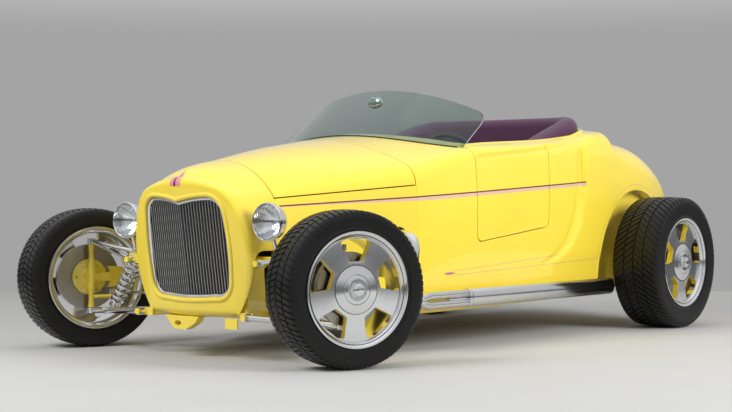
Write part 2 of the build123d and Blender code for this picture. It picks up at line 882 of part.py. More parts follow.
def left_knuckle():
    """Left upright with its spindle, steering arm and caliper, wheels straight ahead."""
    wheel_height = front_tyre_radius
    low = lower_joint_height + joint_length / 2 + seat_gap
    high = upper_joint_height - joint_length / 2 - seat_gap
    solid = rod((-kingpin_inset, 0, low - wheel_height), (-kingpin_inset, 0, high - wheel_height),
                upright_radius)
    boss_end = brake_start - 2 * pad_gap
    solid = solid + rod((-kingpin_inset - upright_radius / 2, 0, 0), (boss_end, 0, 0), boss_radius)
    solid = solid + rod((0, 0, 0), (spindle_end, 0, 0), spindle_radius)
    solid = solid + Rot(180, 0, 0) * caliper()
    pin = (-kingpin_inset - steer_arm_inset, steer_arm)
    eye_top = tie_rod_height - tie_eye_half - seam_gap - wheel_height
    middle = eye_top - tie_eye_half
    solid = solid + rod((-kingpin_inset, 0, middle), (*pin, middle), steer_arm_radius)
    solid = solid + rod((*pin, middle - tie_eye_half), (*pin, eye_top), steer_eye_radius)
    return Pos(kingpin_x + kingpin_inset, front_axle, wheel_height) * solid


def steered(solid, side=1):
    """Turn a front wheel's piece about its kingpin to the stored steering angle."""
    centre = Pos(side * kingpin_x, front_axle, 0)
    return centre * Rot(0, 0, steer_rest) * centre.inverse() * solid


def pin_place(side):
    """Where the steering arm's pin lies at the stored steering angle."""
    x, y = -side * steer_arm_inset, steer_arm
    c, s = cos(radians(steer_rest)), sin(radians(steer_rest))
    return side * kingpin_x + x * c - y * s, front_axle + x * s + y * c


def make_rack():
    """Rack bar with its two tie rods, whose eyes hover over the steering arms."""
    left, right = pin_place(1), pin_place(-1)
    shift = ((left[0] - kingpin_x) + (right[0] + kingpin_x)) / 2
    z = tie_rod_height
    solid = rod((shift - rack_half, rack_y, z), (shift + rack_half, rack_y, z), rack_radius)
    for side, place in ((1, left), (-1, right)):
        start = (shift + side * (rack_half - rack_radius), rack_y, z)
        solid = solid + rod(start, (*place, z), tie_rod_radius)
        solid = solid + rod((*place, z - tie_eye_half), (*place, z + tie_eye_half), steer_eye_radius)
    return solid


def make_rear_axle():
    """Axle tube with its differential, spindles, calipers and the propeller shaft."""
    half = rear_track / 2
    z = rear_tyre_radius
    tube_end = half + brake_start - 2 * pad_gap
    solid = rod((-tube_end, rear_axle, z), (tube_end, rear_axle, z), axle_tube_radius)
    solid = solid + rod((-half - spindle_end, rear_axle, z), (half + spindle_end, rear_axle, z),
                        spindle_radius)
    solid = solid + Pos(0, rear_axle, z) * Sphere(differential_radius)
    grip = Pos(half, rear_axle, z) * caliper()
    solid = joined(solid, *two(grip))
    return solid + rod((0, gearbox_end + shaft_gap, gearbox_height), (0, rear_axle, shaft_end_height),
                       shaft_radius)


def make_arms():
    """Front wishbones and rear links, all chrome."""
    lower = lower_arm()
    upper = arm(upper_pivot_x, upper_pivot_height, upper_joint_height, upper_arm_radius)
    outer = rail_x + rail_width
    eye_y = rear_axle - axle_tube_radius - link_eye_radius - seat_gap
    z0, z1 = link_front_height, rear_tyre_radius
    link = rod((link_x, link_front, z0), (link_x, eye_y, z1), link_radius)
    link = link + rod((outer + seat_gap, link_front, z0),
                      (link_x + link_eye_length / 2, link_front, z0), link_eye_radius)
    link = link + rod((link_x - link_eye_length / 2, eye_y, z1),
                      (link_x + link_eye_length / 2, eye_y, z1), link_eye_radius)
    return joined(*two(lower), *two(upper), *two(link))


# Wheels and tyres, each about its own axis along X with its outer face at +X

def wheel(rim_half):
    """Cast rim: a barrel with flanges and a disc with five windows, cap and spinner."""
    flange, lip = rim_flange, rim_lip_radius
    inner = barrel_inner_radius
    barrel = turned([
        (-rim_half, inner), (-rim_half, lip), (-rim_half + flange, lip), (-rim_half + flange, bead_radius),
        (rim_half - flange, bead_radius), (rim_half - flange, lip), (rim_half, lip), (rim_half, lip - flange),
        (rim_half - disc_recess, inner),
    ])
    face = rim_half - disc_recess
    back = face - wheel_disc_thick
    hub = turned([
        (back, 0), (back, inner + flange), (face, inner + flange), (face, centre_radius),
        (face + centre_step, centre_radius),
        (face + centre_step, cap_radius), (face + cap_height, cap_radius),
        (face + cap_height, spinner_radius),
        (face + cap_height + spinner_height, spinner_radius), (face + cap_height + spinner_height, 0),
    ])
    corners = [(window_inner_half, window_inner_radius), (window_outer_half, window_outer_radius),
               (-window_outer_half, window_outer_radius), (-window_inner_half, window_inner_radius)]
    flat = make_face(Polyline(*corners, close=True))
    flat = fillet(flat.vertices(), window_corner)
    window = Pos(back - overrun, 0, 0) * extrude(Plane.YZ * flat, wheel_disc_thick + 2 * overrun)
    for i in range(spoke_count):
        hub = hub - Rot(360 / spoke_count * i, 0, 0) * window
    return barrel + hub


def tyre(rim_half, radius, width):
    """Tyre as a closed ring on its rim, its tread slightly crowned."""
    half = width / 2
    bead = rim_half - rim_flange - seat_gap
    low = bead_radius + seat_gap
    bulge = (rim_lip_radius + radius) / 2
    right = [
        (bead, low), (bead, rim_lip_radius + seat_gap), (half - rim_flange / 2, rim_lip_radius + rim_flange),
        (half, bulge), (half - rim_flange / 2, radius - shoulder_drop),
        (half - shoulder_width, radius - tread_drop),
        (tread_flat_share * half, radius),
    ]
    left = [(-x, r) for x, r in reversed(right)]
    return turned(right + left)


def brake_disc(rim_half):
    """Brake disc whose hat reaches the back of the wheel's disc."""
    start, end = brake_start, brake_start + brake_thick
    hat_end = rim_half - disc_recess - wheel_disc_thick - seat_gap
    hole = spindle_radius + running_gap
    return turned([(start, hole), (start, brake_radius), (end, brake_radius), (end, brake_hat_radius),
                   (hat_end, brake_hat_radius), (hat_end, hole)])


# Grounds for the cabin

def make_floor():
    """Floor, tunnel, firewall and the bulkhead behind the seat."""
    space = tub_space + (deck_space & block(-far, far, tub_rear, bulkhead_y + overrun, 0, far))
    z0, z1 = floor_height, floor_height + floor_thick
    slabs = block(-far, far, firewall_y, bulkhead_y + floor_thick, z0, z1)
    slabs = slabs + block(-far, far, firewall_y, firewall_y + firewall_thick, z0, far)
    slabs = slabs + block(-far, far, bulkhead_y, bulkhead_y + floor_thick, z0, bulkhead_top)
    start, end = (0, firewall_y, z0), (0, bulkhead_y + floor_thick, z0)
    bore = rod((0, firewall_y - overrun, z0), (0, bulkhead_y + overrun, z0), tunnel_radius - floor_thick)
    tunnel = (rod(start, end, tunnel_radius) - bore) & block(-far, far, -far, far, z0, far)
    column_hole = rod(column_point(-far), column_point(0), column_radius + seat_gap)
    return (((slabs - bore) + tunnel) & space) - column_hole


def column_point(distance):
    """A point on the steering column's axis, this far towards the driver from the wheel."""
    angle = radians(column_angle)
    return (driver_x, steering_y + distance * cos(angle), steering_height + distance * sin(angle))


def make_column():
    reach = (steering_y - firewall_y) / cos(radians(column_angle))
    return rod(column_point(-reach), column_point(-column_gap), column_radius)


def make_steering_wheel():
    """Three-spoke wheel on its hub, square to the column."""
    plane = Plane(origin=column_point(0), x_dir=(1, 0, 0),
                  z_dir=(0, cos(radians(column_angle)), sin(radians(column_angle))))
    hub_back = -column_gap + seat_gap
    solid = rod((0, 0, hub_back), (0, 0, 0), steering_hub_radius)
    start = steering_hub_radius / 2
    for angle in wheel_spoke_angles:
        c, s = cos(radians(angle)), sin(radians(angle))
        solid = solid + rod((start * c, start * s, -steering_hub_length / 2),
                            (steering_radius * c, steering_radius * s, 0),
                            spoke_radius)
    rim = revolve(Pos(steering_radius, 0, 0) * (Plane.XZ * RegularPolygon(steering_rim, rim_sides)), Axis.Z)
    return plane * (solid + rim)


def make_dashboard():
    ring = plan_prism(cockpit_face(dash_thick), dash_bottom, far) - plan_prism(cockpit_face(), 0, far)
    front = block(-cockpit_half, cockpit_half, cockpit_front - overrun, door_front - dash_thick, 0, far)
    return ring & front & tub_space


def make_cushion():
    half = cockpit_half - wrap_gap - back_thick - seat_gap
    rear = cockpit_side_rear
    z0 = floor_height + tunnel_radius + seat_gap
    solid = block(-half, half, seat_front, rear, floor_height + floor_thick + seat_gap, z0 + cushion_tall / 2)
    solid = fillet(solid.edges().filter_by(Axis.X).group_by(Axis.Z)[-1], seat_round)
    bore = rod((0, -far, floor_height), (0, far, floor_height), tunnel_radius + seat_gap)
    return solid - bore


def make_seat_back():
    """Upholstery wrapped round the rear of the cockpit, sloping down along its sides."""
    outer = cockpit_face(-wrap_gap)
    inner = cockpit_face(-wrap_gap - back_thick)
    z0 = floor_height + floor_thick + seat_gap
    ring = plan_prism(outer, z0, back_top) - plan_prism(inner, z0 - overrun, far)
    ring = ring & block(-far, far, wing_slope_start, far, z0, far)
    slope = side_face([(-far, wing_top), (wing_slope_start, wing_top), (wing_slope_end, back_top),
                       (wing_slope_end, far),
                       (-far, far)])
    ring = ring - across(slope, -far, far)
    bore = rod((0, -far, floor_height), (0, far, floor_height), tunnel_radius + seat_gap)
    return ring - bore


# Glass, lamps and mirror

def glass_plan_radius():
    depth = glass_side_y - glass_base_y
    return (glass_half ** 2 + depth ** 2) / (2 * depth)


def make_windscreen():
    """Frameless glass, bent in plan and raked back, seated on the cowl."""
    radius = glass_plan_radius()
    low = tub_section_shares[0][-1] * body_height - overrun
    rise = glass_base_height + glass_rise + overrun - low
    centre_y = glass_base_y + radius - (glass_base_height - low) * glass_rake / glass_rise
    ring = Circle(radius) - Circle(radius - glass_thick)
    front = ring & (Pos(0, -radius, 0) * Rectangle(2 * (glass_half + overrun), 2 * radius - overrun))
    direction = Vector(0, glass_rake, glass_rise).normalized()
    length = rise / direction.Z
    sheet = extrude(Pos(0, centre_y, low) * front, length, dir=direction)
    top = glass_base_height + glass_rise
    side_top = glass_side_height
    foot = glass_half + glass_corner / 4
    base, turn = low - overrun, side_top - glass_corner
    bend_x, bend_z = foot - glass_bend_in, side_top - glass_bend_drop
    crest_x, crest_z = foot - glass_crest_in, side_top + glass_crest_rise
    outline = make_face(Curve() + [
        Line((-foot, base), (foot, base)),
        Line((foot, base), (foot, turn)),
        ThreePointArc((foot, turn), (bend_x, bend_z), (crest_x, crest_z)),
        ThreePointArc((crest_x, crest_z), (0, top), (-crest_x, crest_z)),
        ThreePointArc((-crest_x, crest_z), (-bend_x, bend_z), (-foot, turn)),
        Line((-foot, turn), (-foot, base)),
    ])
    shape = extrude(Pos(0, -far, 0) * (Plane.XZ * outline), 2 * far, dir=(0, 1, 0))
    return (sheet & shape) - Pos(0, 0, seat_gap) * tub_outer


def glass_back(z):
    """The cabin side of the glass on the centre line at height z."""
    return glass_base_y + glass_thick + (z - glass_base_height) * glass_rake / glass_rise


def make_mirror():
    """Oval mirror on a stem square to the glass."""
    steep = hypot(glass_rake, glass_rise)
    normal = Vector(0, glass_rise / steep, -glass_rake / steep)
    height = glass_base_height + mirror_share * glass_rise
    foot = Vector(0, glass_back(height), height) + normal * seat_gap
    centre = foot + normal * mirror_drop
    stem = rod(foot, centre, mirror_stem_radius)
    oval = extrude(Plane.XZ * Ellipse(mirror_half, mirror_tall), mirror_thick)
    return stem + Pos(centre.X, centre.Y + mirror_thick / 2, centre.Z) * oval


def make_headlamps():
    """Chrome bowls with a rim, each on its post."""
    r, d = lamp_radius, lamp_depth
    seat = lens_thick + seat_gap
    back = [(depth_share * d, radius_share * r) for depth_share, radius_share in lamp_bowl_shares]
    bowl = [(0, r - lamp_lip), (0, r), (lamp_rim, r), *back, (d, 0), (seat, 0), (seat, r - lamp_lip)]
    shell = Plane(origin=(lamp_x, lamp_y - lamp_rim, lamp_height), x_dir=(0, 1, 0),
                  z_dir=(1, 0, 0)) * turned(bowl)
    post = rod((lamp_x, lamp_post_y, tower_top + seat_gap), (lamp_x, lamp_y + lamp_rim, lamp_height),
               lamp_post_radius)
    post = post & block(-far, far, -far, far, tower_top + seat_gap, lamp_height - lamp_radius / 2)
    return joined(*two(shell + post))


def make_lenses():
    edge = lamp_radius - lamp_lip - seat_gap
    lens = [(-lens_thick / 2, 0), (0, edge), (lens_thick, edge), (lens_thick, 0)]
    disc = Plane(origin=(lamp_x, lamp_y - lamp_rim, lamp_height), x_dir=(0, 1, 0),
                 z_dir=(1, 0, 0)) * turned(lens)
    return joined(*two(disc))


def make_tail_lamps():
    y = tail_end + seat_gap
    lamp = rod((tail_lamp_x, y, tail_lamp_height), (tail_lamp_x, y + tail_lamp_depth, tail_lamp_height),
               tail_lamp_radius)
    return joined(*two(lamp))


# Engine, radiator and exhaust

def make_engine():
    """Engine as one plain block at its place, with its mounts and gearbox."""
    half = engine_width / 2
    rear = engine_front + engine_length
    solid = block(-half, half, engine_front, rear, engine_bottom, engine_bottom + engine_tall)
    foot = rail_top + seat_gap
    solid = solid + block(-rail_x - rail_width / 2, rail_x + rail_width / 2, mount_front,
                          mount_front + mount_length,
                          foot, foot + mount_tall)
    return solid + rod((0, rear - overrun, gearbox_height), (0, gearbox_end, gearbox_height), gearbox_radius)


def make_radiator():
    return block(-radiator_half, radiator_half, radiator_front, radiator_front + radiator_thick,
                 cross_top + seat_gap,
                 radiator_top)


def oval_prism(half_width, half_height, y0, y1):
    face = Plane.XZ * Ellipse(half_width, half_height)
    middle = (pipe_upper + pipe_lower) / 2
    return extrude(Pos(pipe_x, y0, middle) * face, y1 - y0, dir=(0, 1, 0))


def make_exhaust():
    """Left side pipe: header, two tubes that merge, an oval body and its open mouth."""
    middle = (pipe_upper + pipe_lower) / 2
    start = engine_width / 2 + seat_gap
    path = FilletPolyline((start, header_y, header_height), (pipe_x, header_y, header_height),
                          (pipe_x, header_y, middle), (pipe_x, pipe_front, middle), radius=header_bend)
    header = sweep(Plane(origin=path @ 0, z_dir=path % 0) * Circle(header_radius), path=path)
    solid = header + oval_prism(oval_half_width, oval_half_height, pipe_front - collector_length / 2,
                                pipe_front + collector_length / 2)
    for z in (pipe_upper, pipe_lower):
        solid = solid + rod((pipe_x, pipe_front, z), (pipe_x, merge_y + collector_length, z), pipe_radius)
    solid = solid + oval_prism(oval_half_width, oval_half_height, merge_y, exhaust_end)
    solid = solid - oval_prism(oval_half_width - exhaust_wall, oval_half_height - exhaust_wall,
                               exhaust_end - mouth_depth, exhaust_end + overrun)
    for y in strap_places:
        y0, y1 = y - strap_wide / 2, y + strap_wide / 2
        strap = block(rail_x, pipe_x + oval_half_width / 2, y0, y1, strap_height, strap_height + strap_thick)
        strap = strap + block(rail_x, rail_x + rail_width, y0, y1, strap_height, rail_bottom - seat_gap)
        strap = strap + block(pipe_x - oval_half_width / 2, pipe_x + oval_half_width / 2, y0, y1,
                              strap_height,
                              middle - oval_half_height + exhaust_wall)
        solid = solid + strap
    return solid


# All the pieces by name

def front_wheel_piece(solid, side):
    """Place a left-hand piece at a front hub and turn it with the steering."""
    placed = Pos(kingpin_x + kingpin_inset, front_axle, front_tyre_radius) * solid
    if side < 0:
        placed = mirror(placed, Plane.YZ)
    return steered(placed, side)


def rear_wheel_piece(solid, side):
    placed = Pos(rear_track / 2, rear_axle, rear_tyre_radius) * solid
    return placed if side > 0 else mirror(placed, Plane.YZ)


def make_pieces():
    pieces = {
        "chassis_frame": make_frame(),
        "nose_shell": make_nose(),
        "grille": make_grille(),
        "radiator": make_radiator(),
        "hood_top": make_hood(),
        "hood_sides": make_hood_sides(),
        "body_tub": make_tub(),
        "rear_deck": make_deck(),
        "deck_lid": make_lid(),
        "floor_pan": make_floor(),
        "engine": make_engine(),
        "dashboard": make_dashboard(),
        "seat_cushion": make_cushion(),
        "seat_back": make_seat_back(),
        "steering_column": make_column(),
        "steering_wheel": make_steering_wheel(),
        "steering_rack": make_rack(),
        "windscreen": make_windscreen(),
        "mirror": make_mirror(),
        "headlamps": make_headlamps(),
        "headlamp_lenses": make_lenses(),
        "tail_lamps": make_tail_lamps(),
        "suspension_arms": make_arms(),
        "coilovers": make_coilovers(),
        "rear_axle": make_rear_axle(),
        "exhausts": joined(*two(make_exhaust())),
    }
    door, knuckle = make_door(), left_knuckle()
    front_wheel, rear_wheel = wheel(front_rim_half), wheel(rear_rim_half)
    front_tyre = tyre(front_rim_half, front_tyre_radius, front_tyre_width)
    rear_tyre = tyre(rear_rim_half, rear_tyre_radius, rear_tyre_width)
    front_disc, rear_disc = brake_disc(front_rim_half), brake_disc(rear_rim_half)
    for name, side in (("left", 1), ("right", -1)):
        pieces["door_" + name] = door if side > 0 else mirror(door, Plane.YZ)
        pieces["knuckle_" + name] = steered(knuckle if side > 0 else mirror(knuckle, Plane.YZ), side)
        pieces["wheel_front_" + name] = front_wheel_piece(front_wheel, side)
        pieces["tyre_front_" + name] = front_wheel_piece(front_tyre, side)
        pieces["disc_front_" + name] = front_wheel_piece(front_disc, side)
        pieces["wheel_rear_" + name] = rear_wheel_piece(rear_wheel, side)
        pieces["tyre_rear_" + name] = rear_wheel_piece(rear_tyre, side)
        pieces["disc_rear_" + name] = rear_wheel_piece(rear_disc, side)
    return pieces


def write(pieces):
    """Move the origin under the middle of the car and write one file for each piece."""
    os.makedirs("parts", exist_ok=True)
    for name, solid in pieces.items():
        moved = Pos(0, -origin_back, 0) * solid
        export_step(Compound(children=list(moved.solids())), os.path.join("parts", name + ".step"))


if __name__ == "__main__":
    write(make_pieces())
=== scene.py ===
from math import atan2, cos, hypot, pi, radians, sin, sqrt, tan
import bmesh
import bpy
from mathutils import Matrix, Vector


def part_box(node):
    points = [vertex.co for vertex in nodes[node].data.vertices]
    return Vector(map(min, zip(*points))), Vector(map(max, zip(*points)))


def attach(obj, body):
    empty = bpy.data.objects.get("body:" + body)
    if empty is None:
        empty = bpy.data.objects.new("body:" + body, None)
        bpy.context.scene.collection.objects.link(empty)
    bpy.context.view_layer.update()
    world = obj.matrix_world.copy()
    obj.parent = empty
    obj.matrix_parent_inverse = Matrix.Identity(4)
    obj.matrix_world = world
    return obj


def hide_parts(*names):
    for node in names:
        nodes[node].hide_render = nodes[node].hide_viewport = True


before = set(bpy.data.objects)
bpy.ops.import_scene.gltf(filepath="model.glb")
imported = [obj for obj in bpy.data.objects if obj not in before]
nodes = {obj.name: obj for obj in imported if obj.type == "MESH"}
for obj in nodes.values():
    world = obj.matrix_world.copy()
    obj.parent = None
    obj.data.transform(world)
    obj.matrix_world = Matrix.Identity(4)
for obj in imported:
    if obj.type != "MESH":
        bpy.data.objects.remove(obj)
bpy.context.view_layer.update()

scene = bpy.context.scene

# Sizes shared by the pieces, in metres

half_width, body_tall = 0.640, 1.110
cowl, hood_front, nose_front, tail = -0.788, -1.418, -1.694, 1.812
side_seam, tub_end = -1.176, 0.572
seam, panel_wall = 0.005, 0.008
front_axle, rear_axle, rear_track = -1.493, 1.147, 0.797
front_radius, rear_radius, arch_radius = 0.318, 0.3446, 0.382
kingpin_x, hub_offset, steer_angle = 0.751, 0.028, radians(-20)
rim_lip = 0.2335
core = 0.0005  # radius of a turned piece at its axis
far = 2.0
hands = ((1, "left"), (-1, "right"))

# Cross-sections of the body: place along the car, then shares of the body's height and
# half width in turn for the low corner, the middle of the side and the belt, the
# shoulder's radius and the crown's height.
front_rows = [
    (-1.418, 0.162, 0.516, 0.405, 0.581, 0.605, 0.497, 0.135, 0.764),
    (-1.078, 0.153, 0.734, 0.423, 0.761, 0.635, 0.731, 0.122, 0.822),
    (-0.788, 0.151, 0.931, 0.423, 0.948, 0.674, 0.931, 0.097, 0.859),
]
body_rows = [
    (-0.788, 0.151, 0.931, 0.423, 0.948, 0.674, 0.931, 0.097, 0.859),
    (-0.379, 0.154, 0.938, 0.468, 1.000, 0.773, 0.981, 0.059, 0.904),
    (0.242, 0.160, 0.938, 0.505, 1.003, 0.802, 1.000, 0.056, 0.946),
    (0.572, 0.168, 0.932, 0.505, 0.997, 0.832, 0.994, 0.060, 0.960),
    (0.740, 0.174, 0.928, 0.505, 0.991, 0.862, 0.986, 0.062, 0.968),
    (0.860, 0.178, 0.924, 0.505, 0.984, 0.858, 0.975, 0.078, 0.964),
    (0.960, 0.182, 0.920, 0.503, 0.979, 0.800, 0.967, 0.104, 0.915),
    (1.273, 0.203, 0.891, 0.477, 0.969, 0.732, 0.953, 0.145, 0.886),
    (1.522, 0.236, 0.836, 0.450, 0.909, 0.649, 0.903, 0.171, 0.860),
    (1.672, 0.261, 0.750, 0.432, 0.828, 0.568, 0.828, 0.171, 0.793),
    (1.762, 0.297, 0.625, 0.396, 0.734, 0.491, 0.722, 0.158, 0.712),
    (1.812, 0.333, 0.469, 0.378, 0.562, 0.423, 0.559, 0.126, 0.622),
]
# The nose adds the share of its full lean and vee.
nose_rows = [
    (-1.694, 0.158, 0.440, 0.360, 0.550, 0.595, 0.462, 0.135, 0.695, 1.00),
    (-1.658, 0.158, 0.440, 0.360, 0.550, 0.595, 0.462, 0.135, 0.695, 1.00),
    (-1.625, 0.158, 0.444, 0.365, 0.554, 0.596, 0.467, 0.135, 0.714, 0.92),
    (-1.570, 0.160, 0.458, 0.380, 0.562, 0.598, 0.478, 0.135, 0.735, 0.70),
    (-1.495, 0.161, 0.480, 0.395, 0.571, 0.602, 0.490, 0.135, 0.752, 0.40),
    (-1.418, 0.162, 0.516, 0.405, 0.581, 0.605, 0.497, 0.135, 0.764, 0.00),
]
nose_edge, nose_lean, nose_vee, nose_middle = 0.034, 0.15, 0.15, 0.732
nose_round = -1.658


# Node trees

def reckon(operation):
    """A method that puts both numbers through a math node."""
    return lambda self, other: self.math(operation, other)


class Value:
    """A socket of a node tree that can be reckoned with as a number."""

    def __init__(self, tree, socket):
        self.tree, self.socket = tree, socket

    def math(self, operation, *others):
        return self.tree.node("Math", {"operation": operation}, dict(enumerate((self, *others))))

    def __rsub__(self, other):
        return self.tree.node("Math", {"operation": "SUBTRACT"}, {0: other, 1: self})

    __add__ = __radd__ = reckon("ADD")
    __sub__ = reckon("SUBTRACT")
    __mul__ = __rmul__ = reckon("MULTIPLY")
    __gt__, __lt__ = reckon("GREATER_THAN"), reckon("LESS_THAN")


class Tree:
    """The nodes of one material or of the world."""

    def __init__(self, owner):
        owner.use_nodes = True
        self.owner = owner
        self.nodes, self.links = owner.node_tree.nodes, owner.node_tree.links
        self.nodes.clear()

    def node(self, kind, settings=None, values=None, out=0):
        """One node: its settings first, then the values or links of its sockets."""
        made = self.nodes.new("ShaderNode" + kind)
        for name, value in (settings or {}).items():
            setattr(made, name, value)
        for name, value in (values or {}).items():
            if isinstance(value, Value):
                self.links.new(value.socket, made.inputs[name])
            else:
                made.inputs[name].default_value = value
        return Value(self, made.outputs[out]) if made.outputs else made

    def place(self, which="Object"):
        return self.node("TexCoord", out=which)

    def xyz(self, vector):
        return [self.node("SeparateXYZ", None, {0: vector}, out) for out in range(3)]

    def ease(self, value, start, end):
        """0 before start, 1 after end and a smooth step between."""
        return self.node("MapRange", {"interpolation_type": "SMOOTHSTEP"},
                         {"Value": value, "From Min": start, "From Max": end})

    def noise(self, scale, detail=2.0, vector=None):
        return self.node("TexNoise", None,
                         {"Vector": vector or self.place(), "Scale": scale, "Detail": detail})

    def mix(self, factor, first, second):
        """A colour between two others."""
        def solid(colour):
            return colour if isinstance(colour, Value) else (*colour, 1)
        return self.node("Mix", {"data_type": "RGBA"}, {0: factor, 6: solid(first), 7: solid(second)}, out=2)

    def bump(self, height, strength, distance):
        return self.node("Bump", None, {"Height": height, "Strength": strength, "Distance": distance})


def tree_for(name):
    return Tree(bpy.data.materials.new(name))


def surface(tree, values):
    """Ends a material with a principled shader."""
    shader = tree.node("BsdfPrincipled", None, values)
    tree.node("OutputMaterial", None, {"Surface": shader})
    return tree.owner


def inside(tree, value, low, high, soft):
    """1 between low and high, with edges this soft."""
    return tree.ease(value, low - soft, low) * (1 - tree.ease(value, high, high + soft))


# Finishes

yellow = (0.95, 0.735, 0.060)
maroon = (0.15, 0.02, 0.035)
pink = (0.76, 0.50, 0.34)
purple = (0.055, 0.014, 0.045)


def paint_colour(tree):
    """Lemon yellow with the faint drift of a hand-rubbed finish."""
    return tree.mix(tree.ease(tree.noise(1.7), 0.35, 0.65), yellow, (0.93, 0.71, 0.054))


def scaled(colour, factor):
    return tuple(factor * part for part in colour)


def paint(name, colour_of=paint_colour):
    tree = tree_for(name)
    return surface(tree, {
        "Base Color": colour_of(tree),
        "Roughness": 0.34 + 0.06 * tree.noise(9),
        "Coat Weight": 1.0,
        "Coat Roughness": 0.02,
        "Normal": tree.bump(tree.noise(240), 0.04, 0.0006),
    })


def line_mask(tree, value, middle, half):
    """1 within half of the middle."""
    return 1 - tree.ease((value - middle).math("ABSOLUTE"), half, half + 0.0008)


def striped_colour(tree):
    """The paint with the side stripe, the sill's fine lines, the arch's line and the nose's mark."""
    x, y, z = tree.xyz(tree.place())
    along = y + 0.768
    rise = 0.690 + along * (0.064 + (along > 0) * -0.0072)
    width = 0.003 + 0.012 * tree.ease(y, -1.30, -0.65)
    reach = inside(tree, y, -1.46, 0.586, 0.002)
    band = inside(tree, z, rise - 0.005 - width, rise - 0.005, 0.001) * reach
    dark = line_mask(tree, z, rise - 0.002, 0.0028) * reach

    def sill_line(height, slope, start, end):
        line = line_mask(tree, z, height + slope * (y + 0.515), 0.0018)
        return line * inside(tree, y, start, end, 0.01)

    to_hub = ((y - rear_axle) * (y - rear_axle) + (z - rear_radius) * (z - rear_radius)).math("SQRT")
    arch_line = line_mask(tree, to_hub, arch_radius + 0.030, 0.0015) * (z > 0.36)
    fine = sill_line(0.352, 0.0545, -0.55, 0.36) + sill_line(0.332, 0.0317, -0.53, 0.73) + arch_line
    tip_half = 0.006 - 0.1 * (y + 0.57).math("ABSOLUTE")
    tip = line_mask(tree, z, 0.340 + 0.02 * (y + 0.56), tip_half) * inside(tree, y, -0.60, -0.53, 0.004)
    mark_half = 0.031 * tree.ease(0 - y, 1.615, 1.695)
    mark = (x.math("ABSOLUTE") < mark_half) * inside(tree, y, -1.75, -1.62, 0.001) * (z > 0.731)
    spear = (x.math("ABSOLUTE") < 0.20 * mark_half) * mark
    colour = tree.mix(band, paint_colour(tree), pink)
    colour = tree.mix(spear, tree.mix(mark, colour, (0.72, 0.28, 0.30)), (0.16, 0.02, 0.06))
    colour = tree.mix(dark, colour, maroon)
    colour = tree.mix(fine.math("MINIMUM", 1) * 0.55, colour, (0.62, 0.30, 0.22))
    return tree.mix(tip, colour, (0.45, 0.12, 0.22))


def lined_colour(tree):
    """The striped paint outside, purple hide on the faces that look into the cabin."""
    x, y, z = tree.xyz(tree.place())
    across = tree.xyz(tree.place("Normal"))[0]
    side = (x > 0) * 2 - 1
    cabin = (across * side < -0.55) * inside(tree, y, -0.76, 0.62, 0.002) * (z > 0.26)
    return tree.mix(cabin, striped_colour(tree), purple)


def metal(name, colour, rough, smear=0.06, extra=lambda tree: {}):
    """Bright metal with uneven polish."""
    tree = tree_for(name)
    cloud = tree.noise(14, 4)
    return surface(tree, {
        "Base Color": tree.mix(cloud, colour, scaled(colour, 0.86)),
        "Metallic": 1.0,
        "Roughness": rough + smear * cloud,
        "Normal": tree.bump(tree.noise(420, 3), 0.05, 0.0004),
        **extra(tree),
    })


def plastic(name, colour, rough):
    tree = tree_for(name)
    speck = tree.noise(300, 4)
    return surface(tree, {
        "Base Color": tree.mix(speck, scaled(colour, 1.12), scaled(colour, 0.80)),
        "Roughness": rough + 0.14 * (tree.noise(11) - 0.5),
        "Normal": tree.bump(speck, 0.3, 0.0006),
    })


def wheel_finish(name, place):
    """Polished metal on the faces, the lip and the barrel, yellow paint on the walls of the windows."""
    tree = tree_for(name)
    x, y, z = tree.xyz(tree.place())
    hub_x, hub_y, hub_z, disc_depth, turn = place
    side = 1 if hub_x > 0 else -1
    ax, ay = side * cos(turn), side * sin(turn)
    nx, ny, nz = tree.xyz(tree.place("Normal"))
    facing = nx * ax + ny * ay
    out = (x - hub_x) * ax + (y - hub_y) * ay
    flat = (x - hub_x) * -ay + (y - hub_y) * ax
    up = z - hub_z
    radius = (flat * flat + up * up).math("SQRT")
    between = (radius > 0.104) * (radius < 0.2022) * (out > disc_depth + 0.012)
    walls = (facing.math("ABSOLUTE") < 0.5) * between
    bare = 1 - walls
    swirl = tree.noise(60, 2, tree.node("CombineXYZ", None, {0: radius * 12, 1: out * 3, 2: 0.0}))
    ring = line_mask(tree, radius, 0.0965, 0.0010) + line_mask(tree, radius, 0.060, 0.0008)
    shine = tree.mix(swirl, (0.86, 0.87, 0.88), (0.70, 0.71, 0.73))
    shine = tree.mix(ring.math("MINIMUM", 1) * 0.7, shine, (0.25, 0.25, 0.26))
    return surface(tree, {
        "Base Color": tree.mix(bare, paint_colour(tree), shine),
        "Metallic": bare,
        "Roughness": 0.34 - bare * (0.22 - 0.07 * swirl),
        "Coat Weight": 1 - bare,
        "Normal": tree.bump(swirl, 0.04, 0.0004),
    })


def leather(name):
    tree = tree_for(name)
    grain = tree.node("TexVoronoi", None, {"Vector": tree.place(), "Scale": 420.0})
    wear = tree.noise(6, 3)
    return surface(tree, {
        "Base Color": tree.mix(wear, purple, scaled(purple, 1.5)),
        "Roughness": 0.38 + 0.12 * wear,
        "Coat Weight": 0.15,
        "Normal": tree.bump(grain, 0.25, 0.0008),
    })


def rubber(name):
    tree = tree_for(name)
    dust = tree.noise(5, 4)
    return surface(tree, {
        "Base Color": tree.mix(dust, (0.0035, 0.0035, 0.004), (0.009, 0.0085, 0.008)),
        "Roughness": 0.30 + 0.16 * tree.noise(22, 3),
        "Specular IOR Level": 0.32,
        "Normal": tree.bump(tree.noise(420, 3), 0.25, 0.0007),
    })


